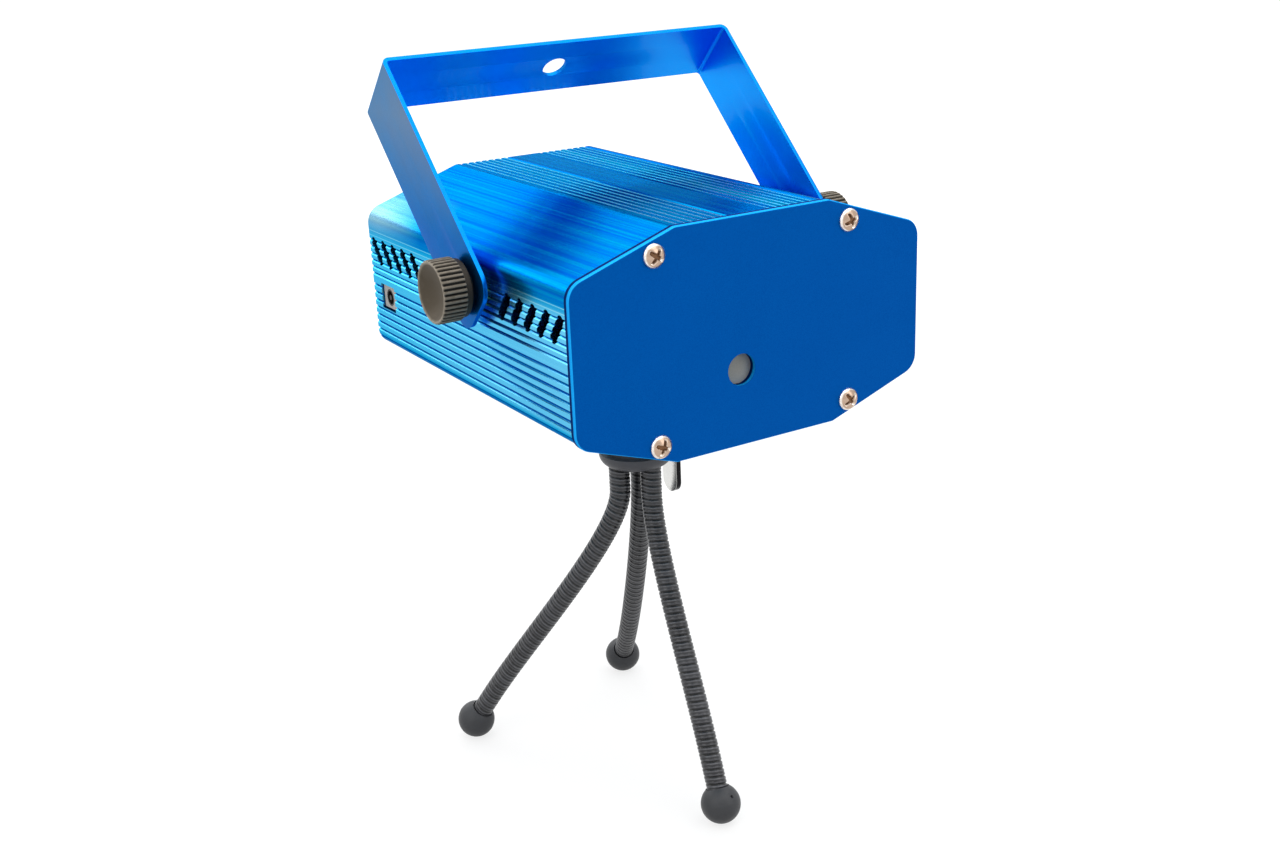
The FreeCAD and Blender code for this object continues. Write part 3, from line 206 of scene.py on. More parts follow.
class EffectShelf:
    """Builds each shared shader group once."""

    def __init__(self) -> None:
        """Build every group."""
        spread = {"Vector": VECTOR, "Scale": NUMBER}
        stretched = {"Vector": VECTOR, "Scale": VECTOR, "Contrast": NUMBER}
        plans = {Effect.STREAKS: (self._streaks, stretched, ("Mask", "Height")),
                 Effect.GRAIN: (self._grain, spread, ("Mask", "Height")),
                 Effect.MARKS: (self._marks, spread, ("Mask",)),
                 Effect.WEAR: (self._wear_and_highlight, {**spread, "Edge": NUMBER}, ("Mask",))}
        self.trees = {}
        for effect, (join, inputs, outputs) in plans.items():
            sheet = new_group(effect.value, "ShaderNodeTree", inputs, dict.fromkeys(outputs, NUMBER))
            made = join(sheet, sheet.add("NodeGroupInput").outputs)
            sheet.add("NodeGroupOutput", dict(zip(outputs, made)))
            self.trees[effect] = sheet.tree

    @staticmethod
    def _streaks(sheet: NodeSheet, given: Sockets) -> tuple[Socket, Socket]:
        """Mask and height of the lines that drawing through a die leaves: noise stretched along each axis."""
        spread = sheet.vector("MULTIPLY", given["Vector"], given["Scale"])
        fine = sheet.noise(Vector=spread, Scale=1.0, Detail=4.0, Roughness=0.65)
        broad = sheet.noise(Vector=spread, Scale=0.16, Detail=2.0)
        both = sheet.plus(sheet.times(fine, 0.55), sheet.times(broad, 0.45))
        centred = sheet.times(sheet.minus(both, 0.5), given["Contrast"])
        return sheet.math("ADD", centred, 0.5, clamp=True), fine

    @staticmethod
    def _grain(sheet: NodeSheet, given: Sockets) -> tuple[Socket, Socket]:
        """Mask and height of the fine pits of a blasted or moulded face."""
        inputs = {name: given[name] for name in ("Vector", "Scale")}
        pits = sheet.noise(**inputs, Detail=3.0, Roughness=0.7)
        cells = sheet.add("ShaderNodeTexVoronoi", inputs).outputs[0]
        return sheet.ranged(pits, 0.35, 0.65), sheet.plus(pits, sheet.times(cells, 0.4))

    @staticmethod
    def _marks(sheet: NodeSheet, given: Sockets) -> tuple[Socket]:
        """Mask of the soft patches where hands and cloths have been."""
        patches = sheet.noise(Vector=given["Vector"], Scale=given["Scale"], Detail=5.0, Roughness=0.6,
                              Distortion=0.6)
        return (sheet.ranged(patches, 0.42, 0.68),)

    @staticmethod
    def _wear_and_highlight(sheet: NodeSheet, given: Sockets) -> tuple[Socket]:
        """Mask of the mesh's edge marks, for wear and painted highlight, broken up by noise."""
        broken = sheet.noise(Vector=given["Vector"], Scale=given["Scale"], Detail=4.0)
        share = sheet.ranged(broken, 0.3, 0.6, 0.35, 1.0)
        return (sheet.math("MULTIPLY", given["Edge"], share, clamp=True),)


class MaterialSheet(NodeSheet):
    """One material in the making: its tree, its Principled shader and its object coordinates."""

    def __init__(self, name: str, effects: EffectShelf) -> None:
        """Make an empty material.

        Args:
            name: Name of the material.
            effects: The shared groups.
        """
        self.material = bpy.data.materials.new(name)
        self.material.use_nodes = True
        super().__init__(self.material.node_tree)
        self.effects = effects
        self.shader = self.tree.nodes["Principled BSDF"]
        self.place = self.add("ShaderNodeTexCoord").outputs["Object"]

    @cached_property
    def axes(self) -> Sockets:
        """X, Y and Z of the object coordinates."""
        return self.add("ShaderNodeSeparateXYZ", {0: self.place}).outputs

    @cached_property
    def beside(self) -> Socket:
        """Distance from the middle plane, |x|."""
        return self.math("ABSOLUTE", self.axes["X"])

    def stored(self, name: str) -> Socket:
        """Number that the mesh stores under a name."""
        return self.add("ShaderNodeAttribute", attribute_name=name).outputs["Fac"]

    def effect(self, effect: Effect, **inputs: Feed) -> Sockets:
        """Outputs of a shared group, with its inputs by name."""
        fed = {"Vector": self.place, **inputs}
        return self.add("ShaderNodeGroup", fed, node_tree=self.effects.trees[effect]).outputs

    def set(self, **inputs: Feed) -> None:
        """Feed the shader's inputs, named with _ for each space."""
        for name, value in inputs.items():
            self.feed(self.shader.inputs[name.replace("_", " ")], value)

    def bump(self, height: Socket, depth: float) -> None:
        """Turn a height from 0 to 1 into the shader's normal; the depth is in millimetres."""
        node = self.add("ShaderNodeBump", {"Height": height, "Distance": depth * MM, "Strength": 1.0})
        self.set(Normal=node.outputs[0])


@dataclass(frozen=True)
class Finish:
    """A finish, which makes one material."""

    name: str

    def build(self, effects: EffectShelf) -> bpy.types.Material:
        """Make the material.

        Args:
            effects: The shared groups.

        Returns:
            The material.
        """
        sheet = MaterialSheet(self.name, effects)
        self.paint(sheet)
        return sheet.material

    def paint(self, sheet: MaterialSheet) -> None:
        """Feed the material's shader.

        Args:
            sheet: The material in the making.
        """
        raise NotImplementedError


@dataclass(frozen=True)
class Anodised(Finish):
    """Dyed aluminium, drawn lengthwise or blasted, with painted highlight, reflection and shade in given
    places.

    The optional fields place painted light and shade. Crest is |x| from which the outermost side faces take a
    painted reflection tone, with painted shade low down where a low tone is given; rim is y of the rim's
    start, its end and the shade below, a painted highlight line on the rim and painted shade beyond it; the
    glare field is |x|, y and z of a painted highlight and reflection; lines are heights of painted highlight
    lines; and ridges are |x| of the first groove, the pitch, |x| of the last groove and the roof's height.
    """

    colour: Colour
    pale: Colour
    grazing: Colour
    roughness: float
    streak_scale: Point
    streak_share: float
    streak_depth: float
    contrast: float = 2.2
    grain_scale: float = 5200.0
    grain_share: float = 0.1
    coat: float = 0.0
    metallic: float = 1.0
    crest: Span | None = None
    crest_fade: Span = (0.0, 1.0)
    crest_low: Colour | None = None
    rim: tuple[float, float, float] | None = None
    highlight_and_wear: Colour = (0.0, 0.4, 0.85)
    shaded: Colour = (0.0, 0.02, 0.11)
    glare_zone: tuple[Span, Span, Span] | None = None
    highlight_tone: Colour = (0.3, 0.76, 0.86)
    glare_metal_drop: float = 0.55
    shoulder: Span = (142.5, 147.0)
    lines: tuple[float, ...] = ()
    ridges: tuple[float, float, float, float] | None = None
    marks_scale: float = 34.0
    rough_streaks: float = 0.06
    rough_marks: float = 0.04
    coat_roughness: float = 0.1
    crest_least: float = 0.85
    ridge_light: Span = (0.08, 0.2)
    ridge_dark: tuple[float, float, float] = (0.2, 0.28, 0.6)
    glare_share: Span = (0.6, 0.95)
    line_share: float = 0.7
    feather: float = 0.08

    def paint(self, sheet: MaterialSheet) -> None:
        """Feed the material's shader."""
        streaks = sheet.effect(Effect.STREAKS, Scale=self.streak_scale, Contrast=self.contrast)
        grain = sheet.effect(Effect.GRAIN, Scale=self.grain_scale)
        marks = sheet.effect(Effect.MARKS, Scale=self.marks_scale)
        lined = sheet.times(streaks["Mask"], self.streak_share)
        tone = sheet.mix(lined, self.colour, self.pale)
        metal: Feed = self.metallic
        # Outermost side faces: a painted reflection tone, and painted shade low down where a low tone is
        # given.
        if self.crest is not None:
            low, high = (value * MM for value in self.crest)
            proud = sheet.ranged(sheet.beside, low, high)
            reached = sheet.ranged(sheet.axes["Z"], self.crest_fade[0] * MM, self.crest_fade[1] * MM)
            drawn = sheet.ranged(streaks["Mask"], 0.0, 1.0, self.crest_least, 1.0)
            side = sheet.mix(reached, self.crest_low or tone, self.highlight_and_wear)
            tone = sheet.mix(sheet.times(proud, drawn), tone, side)
        # Painted highlight lines and painted shade on the roof's ridges.
        if self.ridges is not None:
            tone = self._ridged(sheet, tone)
        # Painted highlight line along the rim, then painted shade beyond it.
        if self.rim is not None:
            start, end, below = (value * MM for value in self.rim)
            rim_highlight = sheet.ranged(sheet.axes["Y"], start, start + self.feather * MM)
            tone = sheet.mix(rim_highlight, tone, self.highlight_and_wear)
            tone = sheet.mix(sheet.ranged(sheet.axes["Y"], end, below), tone, self.shaded)
        # Painted highlight and reflection in the glare field, paler and less metallic there.
        if self.glare_zone is not None:
            spots = (sheet.beside, sheet.axes["Y"], sheet.axes["Z"], sheet.axes["Z"])
            across, along, under, above = (sheet.ranged(spot, low * MM, high * MM) for spot, (low, high)
                                           in zip(spots, (*self.glare_zone, self.shoulder)))
            glare = sheet.math("MAXIMUM", sheet.times(across, along, above), under)
            glare = sheet.times(glare, sheet.ranged(lined, 0.0, self.streak_share, *self.glare_share))
            tone = sheet.mix(glare, tone, self.highlight_tone)
            metal = sheet.minus(self.metallic, sheet.times(glare, self.glare_metal_drop))
        # Painted highlight lines at the given heights.
        for level in self.lines:
            away = sheet.apart(sheet.axes["Z"], level * MM)
            bright = sheet.ranged(away, 0.0, 2 * self.feather * MM, self.line_share, 0.0)
            tone = sheet.mix(bright, tone, self.highlight_tone)
        rough = sheet.plus(self.roughness, sheet.times(streaks["Mask"], self.rough_streaks),
                           sheet.times(marks["Mask"], self.rough_marks),
                           sheet.times(grain["Mask"], self.grain_share))
        sheet.set(Base_Color=tone, Roughness=rough, Metallic=metal, Specular_Tint=self.grazing,
                  Coat_Weight=self.coat, Coat_Roughness=self.coat_roughness)
        height = sheet.plus(sheet.times(streaks["Height"], 1 - self.grain_share),
                            sheet.times(grain["Height"], self.grain_share))
        sheet.bump(height, self.streak_depth)

    def _ridged(self, sheet: MaterialSheet, tone: Socket) -> Socket:
        """Tone with painted highlight lines on the roof's ridges and painted shade in the grooves between
        them.

        Args:
            sheet: The material in the making.
            tone: The tone so far.

        Returns:
            The new tone.
        """
        inner, pitch, outer, roof = (value * MM for value in self.ridges)
        turn = sheet.math("FRACT", sheet.math("DIVIDE", sheet.minus(sheet.beside, inner), pitch))
        off = sheet.apart(turn, 0.5)
        held = sheet.times(sheet.math("GREATER_THAN", sheet.beside, inner),
                           sheet.math("LESS_THAN", sheet.beside, outer),
                           sheet.math("GREATER_THAN", sheet.axes["Z"], roof))
        start, end, most = self.ridge_dark
        shade = sheet.mix(sheet.times(sheet.ranged(off, start, end, 0.0, most), held), tone, self.shaded)
        return sheet.mix(sheet.times(sheet.ranged(off, *self.ridge_light, 1.0, 0.0), held), shade, self.highlight_tone)


@dataclass(frozen=True)
class Moulded(Finish):
    """Plastic, rubber or lacquer: moulded grain, soft handling patches, edge wear, painted highlight and
    painted shade.
    """

    colour: Colour
    worn_and_highlight: Colour
    roughness: float
    grain_scale: float = 2600.0
    grain_depth: float = 0.02
    coat: float = 0.0
    sheen: float = 0.0
    groove: Colour = (0.006, 0.006, 0.006)
    patches: float = 0.25
    gloss: float = 0.5
    marks_scale: float = 120.0
    wear_scale: float = 600.0
    rough_marks: float = 0.1
    rough_grain: float = 0.06
    coat_roughness: float = 0.25

    def paint(self, sheet: MaterialSheet) -> None:
        """Feed the material's shader."""
        grain = sheet.effect(Effect.GRAIN, Scale=self.grain_scale)
        marks = sheet.effect(Effect.MARKS, Scale=self.marks_scale)
        # The mesh's edge marks take wear and painted highlight.
        worn_edges_and_highlights = sheet.effect(Effect.WEAR, Edge=sheet.stored("edge"), Scale=self.wear_scale)
        patchy = sheet.mix(sheet.times(marks["Mask"], self.patches), self.colour, self.worn_and_highlight)
        highlight_and_wear = sheet.mix(worn_edges_and_highlights["Mask"], patchy, self.worn_and_highlight)
        rough = sheet.plus(self.roughness, sheet.times(marks["Mask"], self.rough_marks),
                           sheet.times(grain["Mask"], self.rough_grain))
        # The mesh's groove marks take painted shade.
        sheet.set(Base_Color=sheet.mix(sheet.stored("groove"), highlight_and_wear, self.groove), Roughness=rough,
                  Coat_Weight=self.coat, Coat_Roughness=self.coat_roughness, Sheen_Weight=self.sheen,
                  Specular_IOR_Level=self.gloss)
        sheet.bump(grain["Height"], self.grain_depth)


@dataclass(frozen=True)
class Metal(Finish):
    """Bare metal with fine tool lines; a finish of its own gives the tone."""

    colour: Colour
    tarnish: Colour
    roughness: float
    line_scale: float = 2400.0
    line_depth: float = 0.006
    line_contrast: float = 1.6
    rough_lines: float = 0.12

    def paint(self, sheet: MaterialSheet) -> None:
        """Feed the material's shader."""
        lines = sheet.effect(Effect.STREAKS, Scale=(self.line_scale,) * 3, Contrast=self.line_contrast)
        rough = sheet.plus(self.roughness, sheet.times(lines["Mask"], self.rough_lines))
        sheet.set(Base_Color=self.tone(sheet), Roughness=rough, Metallic=1.0)
        sheet.bump(lines["Height"], self.line_depth)

    def tone(self, sheet: MaterialSheet) -> Socket:
        """Colour of the metal.

        Args:
            sheet: The material in the making.

        Returns:
            The colour socket.
        """
        raise NotImplementedError


@dataclass(frozen=True)
class TurnedMetal(Metal):
    """Turned or milled metal with a little tarnish; beyond an x where that is given, black as painted shade.
    """

    black_from: float | None = None
    black: Colour = (0.012, 0.012, 0.013)
    black_feather: float = 0.06
    marks_scale: float = 260.0
    marks_share: float = 0.6

    def tone(self, sheet: MaterialSheet) -> Socket:
        """Colour with tarnish in patches."""
        marks = sheet.effect(Effect.MARKS, Scale=self.marks_scale)
        tone = sheet.mix(sheet.times(marks["Mask"], self.marks_share), self.colour, self.tarnish)
        if self.black_from is None:
            return tone
        # Painted shade: black beyond black_from.
        start, end = self.black_from * MM, (self.black_from + self.black_feather) * MM
        return sheet.mix(sheet.ranged(sheet.axes["X"], start, end), tone, self.black)


@dataclass(frozen=True)
class PlatedHead(Metal):
    """Plated screw head: bright on its rim and round its recess, tarnished between and dark in the recess."""

    line_scale: float = 2600.0
    recess: Colour = srgb(112, 82, 60)
    wear_scale: float = 1500.0

    def tone(self, sheet: MaterialSheet) -> Socket:
        """Colour by the mesh's own rim and recess."""
        worn_edges_and_highlights = sheet.effect(Effect.WEAR, Edge=sheet.stored("edge"), Scale=self.wear_scale)
        dull = sheet.mix(sheet.stored("groove"), self.tarnish, self.recess)
        return sheet.mix(worn_edges_and_highlights["Mask"], dull, self.colour)


@dataclass(frozen=True)
class InletFace(Finish):
    """Inlet moulding, black as painted shade within a radius of its plug hole's axis, which runs along X."""

    colour: Colour
    hole_shade: Colour
    roughness: float
    axis: tuple[float, float]
    radius: float
    feather: float = 0.08
    grain_scale: float = 2600.0
    grain_depth: float = 0.02
    rough_grain: float = 0.08

    def paint(self, sheet: MaterialSheet) -> None:
        """Feed the material's shader."""
        grain = sheet.effect(Effect.GRAIN, Scale=self.grain_scale)
        centre = (0.0, self.axis[0] * MM, self.axis[1] * MM)
        across = sheet.vector("MULTIPLY", sheet.vector("SUBTRACT", sheet.place, centre), (0.0, 1.0, 1.0))
        outside = sheet.ranged(sheet.length(across), self.radius * MM, (self.radius + self.feather) * MM)
        # Painted shade: black within the radius round the plug hole's axis.
        sheet.set(Base_Color=sheet.mix(outside, self.hole_shade, self.colour),
                  Roughness=sheet.plus(self.roughness, sheet.times(grain["Mask"], self.rough_grain)))
        sheet.bump(grain["Height"], self.grain_depth)


@dataclass(frozen=True)
class FrostedGlass(Finish):
    """Ground glass: milky, with a fine grain on its face."""

    colour: Colour
    roughness: float
    transmission: float
    milkiness: float = 0.82
    grain_scale: float = 3800.0
    grain_depth: float = 0.02
    rough_grain: float = 0.15
    refraction: float = 1.5

    def paint(self, sheet: MaterialSheet) -> None:
        """Feed the material's shader."""
        grain = sheet.effect(Effect.GRAIN, Scale=self.grain_scale)
        milky = tuple(self.milkiness * value for value in self.colour)
        sheet.set(Base_Color=sheet.mix(grain["Mask"], milky, self.colour),
                  Roughness=sheet.plus(self.roughness, sheet.times(grain["Mask"], self.rough_grain)),
                  Transmission_Weight=self.transmission, IOR=self.refraction)
        sheet.bump(grain["Height"], self.grain_depth)


class Slot(Enum):
    """Material slots of the record."""

    SHELL = "shell_blue"
    PLATE = "plate_blue"
    BRACKET = "bracket_blue"
    PLATED = "plated_steel"
    STEEL = "bare_steel"
    ALUMINIUM = "bare_aluminium"
    BRASS = "brass"
    BLACK = "black_plastic"
    GREY = "grey_plastic"
    LEG = "black_metal"
    RUBBER = "black_rubber"
    GLASS = "frosted_glass"
    FILM = "clear_film"
    MIRROR = "mirror_glass"
    BOARD = "board_green"


PLATE = Anodised("anodised_plate", srgb(0, 82, 164), srgb(0, 92, 171), (0.0, 0.4, 0.8), 0.42,
                 (260.0, 260.0, 260.0), 0.3, 0.01, grain_share=0.25, metallic=0.85)
FINISHES: dict[Slot, Finish] = {
    # Shell: its sides' rib crests take a painted reflection, the glare field a painted highlight and
    # reflection, the lines and ridges painted highlight lines, the ridges' grooves painted shade.
    Slot.SHELL: Anodised("anodised_shell", srgb(0, 106, 192), srgb(0, 178, 194), (0.01, 0.34, 0.6), 0.15,
                         (1900.0, 4.0, 1900.0), 0.6, 0.006, contrast=4.5, crest=(45.2, 45.6),
                         crest_fade=(144.5, 141.5), highlight_and_wear=srgb(124, 204, 236),
                         glare_zone=((32.0, 42.0), (16.0, 42.0), (113.0, 106.5)), highlight_tone=srgb(178, 230, 242),
                         lines=(142.7, 143.9), ridges=(5.2, 1.9, 18.5, 156.0)),
    Slot.PLATE: PLATE,
    # Bracket: its outer arm faces take a painted reflection tone, with painted shade low down near the knobs.
    Slot.BRACKET: Anodised("anodised_bracket", srgb(0, 146, 240), srgb(0, 160, 244), (0.02, 0.5, 0.9), 0.26,
                           (160.0, 160.0, 160.0), 0.4, 0.003, grain_share=0.12, coat=0.15,
                           crest=(48.1, 48.35), crest_fade=(150.0, 176.0), crest_low=srgb(0, 92, 158),
                           highlight_and_wear=srgb(130, 132, 148)),
    Slot.PLATED: PlatedHead("plated_screw", srgb(246, 240, 232), srgb(186, 160, 140), 0.2),
    Slot.STEEL: TurnedMetal("turned_steel", srgb(206, 207, 208), srgb(170, 170, 170), 0.36),
    Slot.ALUMINIUM: TurnedMetal("milled_aluminium", srgb(214, 216, 220), srgb(170, 172, 176), 0.34),
    Slot.BRASS: TurnedMetal("turned_brass", srgb(222, 188, 112), srgb(150, 116, 60), 0.24),
    Slot.BLACK: Moulded("black_moulding", srgb(70, 71, 77), srgb(94, 95, 101), 0.4),
    Slot.GREY: InletFace("inlet_moulding", srgb(206, 200, 194), srgb(12, 12, 14), 0.5, (38.95, 127.6), 2.15),
    # Legs: the second colour serves handling patches and a painted highlight on the wires' crests; the groove
    # colour is painted shade in the gaps.
    Slot.LEG: Moulded("lacquered_winding", srgb(36, 36, 40), srgb(132, 133, 139), 0.24, 3600.0, 0.004, 0.2,
                      gloss=0.35),
    Slot.RUBBER: Moulded("rubber_ball", srgb(70, 71, 74), srgb(96, 97, 100), 0.42, 3200.0, 0.012, 0.0, 0.04,
                         gloss=0.3),
    Slot.GLASS: FrostedGlass("ground_window", srgb(184, 181, 170), 0.5, 0.12),
    Slot.FILM: FrostedGlass("grating_film", srgb(214, 222, 230), 0.12, 0.6),
    Slot.MIRROR: TurnedMetal("mirror_coating", srgb(226, 232, 238), srgb(206, 216, 230), 0.04),
    Slot.BOARD: Moulded("board_mask", srgb(22, 92, 54), srgb(40, 120, 74), 0.3, 900.0, 0.01, 0.3),
}
# Front plate: a painted highlight line along its rim and painted shade beyond it.
FRONT_PLATE = replace(PLATE, name="anodised_front_plate", rim=(-56.03, -55.3, -55.1),
                      highlight_and_wear=srgb(30, 168, 240))
# Knob: the second colour serves handling patches, wear and a painted highlight on the rim; the groove colour
# is painted shade in the flutes' grooves and on the collar and skirt.
KNOB = Moulded("knob_moulding", srgb(102, 93, 80), srgb(196, 186, 170), 0.42, 1900.0, 0.012,
               groove=srgb(16, 15, 15), patches=0.1, gloss=0.12)
# Lever: black beyond x 9.93 is painted shade on its right edge.
LEVER = TurnedMetal("lever_plate", srgb(222, 222, 219), srgb(204, 204, 201), 0.1, black_from=9.93)
# The bracket's cut edges and bevels: a copy of the anodised finish in its own tone, a painted tone for the
# light on those edges.
CUT_EDGE = Anodised("anodised_cut_edge", srgb(0, 104, 192), srgb(0, 132, 216), (0.05, 0.5, 0.9), 0.22,
                    (900.0, 900.0, 900.0), 0.6, 0.004, coat=0.05)
POINTER = Moulded("pointer_paint", srgb(232, 230, 224), srgb(210, 206, 198), 0.5)


class FinishShelf:
    """Every finish as a material, by slot, plus the finishes that only single pieces take."""

    def __init__(self) -> None:
        """Build the shared groups and all materials."""
        effects = EffectShelf()
        self.by_slot = {slot: finish.build(effects) for slot, finish in FINISHES.items()}
        self.own = {"front_plate": FRONT_PLATE.build(effects), "lock_lever": LEVER.build(effects)}
        self.knob = KNOB.build(effects)
        self.cut_edge = CUT_EDGE.build(effects)
        self.pointer = POINTER.build(effects)

    def __getitem__(self, slot: Slot) -> bpy.types.Material:
        """Material of a slot."""
        return self.by_slot[slot]


def dress_frame(finishes: FinishShelf) -> None:
    """Give every frame node the material of its record slot.

    Args:
        finishes: The materials.
    """
    for entry in frame["record"]["subparts"]:
        mesh = frame["nodes"][entry["node"]].data
        mesh.materials.clear()
        mesh.materials.append(finishes.own.get(entry["node"], finishes[Slot(entry["material_slot"])]))


def new_object(name: str, data: bpy.types.ID) -> Item:
    """Object in the scene for a mesh or curve.

    Args:
        name: Name of the object and its data.
        data: The mesh or curve.

    Returns:
        The object.
    """
    item = bpy.data.objects.new(name, data)
    data.name = name
    bpy.context.scene.collection.objects.link(item)
    return item


def settle(item: Item) -> Item:
    """Turn an object with modifiers into a plain mesh object of the same name.

    Args:
        item: The object, which is removed.

    Returns:
        The plain mesh object.
    """
    depsgraph = bpy.context.evaluated_depsgraph_get()
    evaluated = item.evaluated_get(depsgraph)
    mesh = bpy.data.meshes.new_from_object(evaluated, preserve_all_data_layers=True, depsgraph=depsgraph)
    name = item.name
    bpy.data.objects.remove(item)
    return new_object(name, mesh)


def run_tree(item: Item, tree: bpy.types.NodeTree, inputs: dict[str, object]) -> Item:
    """Run a geometry tree on an object and keep the result as a plain mesh.

    Args:
        item: The object that the tree starts from.
        tree: The geometry tree.
        inputs: Values of the tree's named inputs.

    Returns:
        The plain mesh object.
    """
    modifier = item.modifiers.new("build", "NODES")
    modifier.node_group = tree
    for socket in tree.interface.items_tree:
        if socket.in_out == "INPUT" and socket.name in inputs:
            modifier[socket.identifier] = inputs[socket.name]
    item.update_tag()
    return settle(item)


def mesh_from(name: str, build: Filler, matrix: Matrix | None = None) -> bpy.types.Mesh:
    """Mesh from a function that fills a bmesh in millimetres.

    Args:
        name: Name of the mesh.
        build: Fills the bmesh.
        matrix: Places the finished shape, in millimetres.

    Returns:
        The mesh in metres, with outward faces.
    """
    work = bmesh.new()
    build(work)
    bmesh.ops.remove_doubles(work, verts=work.verts, dist=WELD_IN_MM)
    bmesh.ops.recalc_face_normals(work, faces=work.faces)
    if matrix is not None:
        work.transform(matrix)
    work.transform(Matrix.Scale(MM, 4))
    mesh = bpy.data.meshes.new(name)
    work.to_mesh(mesh)
    work.free()
    mesh.shade_smooth()
    mesh.set_sharp_from_angle(angle=SHARP_ANGLE)
    return mesh


def circle(radius: float, count: int) -> list[Span]:
    """Points spread evenly round a circle."""
    turns = [FULL_TURN * i / count for i in range(count)]
    return [(radius * math.cos(turn), radius * math.sin(turn)) for turn in turns]


def lathe(profile: Sequence[Span], segments: int) -> Filler:
    """Filler that turns a profile round the local Z axis.

    Args:
        profile: Pairs of radius and height, from one end to the other; radius 0 is a pole.
        segments: Steps round the axis.

    Returns:
        A function that fills a bmesh.
    """
    def fill(work: Work) -> None:
        """Add the rings and the faces between them."""
        rings = []
        for radius, height in profile:
            count = segments if radius > 0 else 1
            rings.append([work.verts.new((x, y, height)) for x, y in circle(radius, count)])
        for lower, upper in zip(rings, rings[1:]):
            for i in range(segments):
                corners = [lower[i % len(lower)], lower[(i + 1) % len(lower)],
                           upper[(i + 1) % len(upper)], upper[i % len(upper)]]
                work.faces.new(list(dict.fromkeys(corners)))
    return fill


@dataclass(frozen=True)
class Seat:
    """Where a piece belongs: its body, its record slot and the frame nodes that it stands for."""

    body: str
    slot: Slot
    stands_for: tuple[str, ...] = ()

    def take(self, piece: Item) -> None:
        """Put a finished piece on its body."""
        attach(piece, self.body)
        self.label(piece)

    def label(self, piece: Item) -> None:
        """Hide the frame nodes that a piece stands for, and log its face count.

        Args:
            piece: The piece.
        """
        if self.stands_for:
            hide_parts(*self.stands_for)
        LOG.info("%s on %s: %d faces", piece.name, self.body, len(piece.data.polygons))


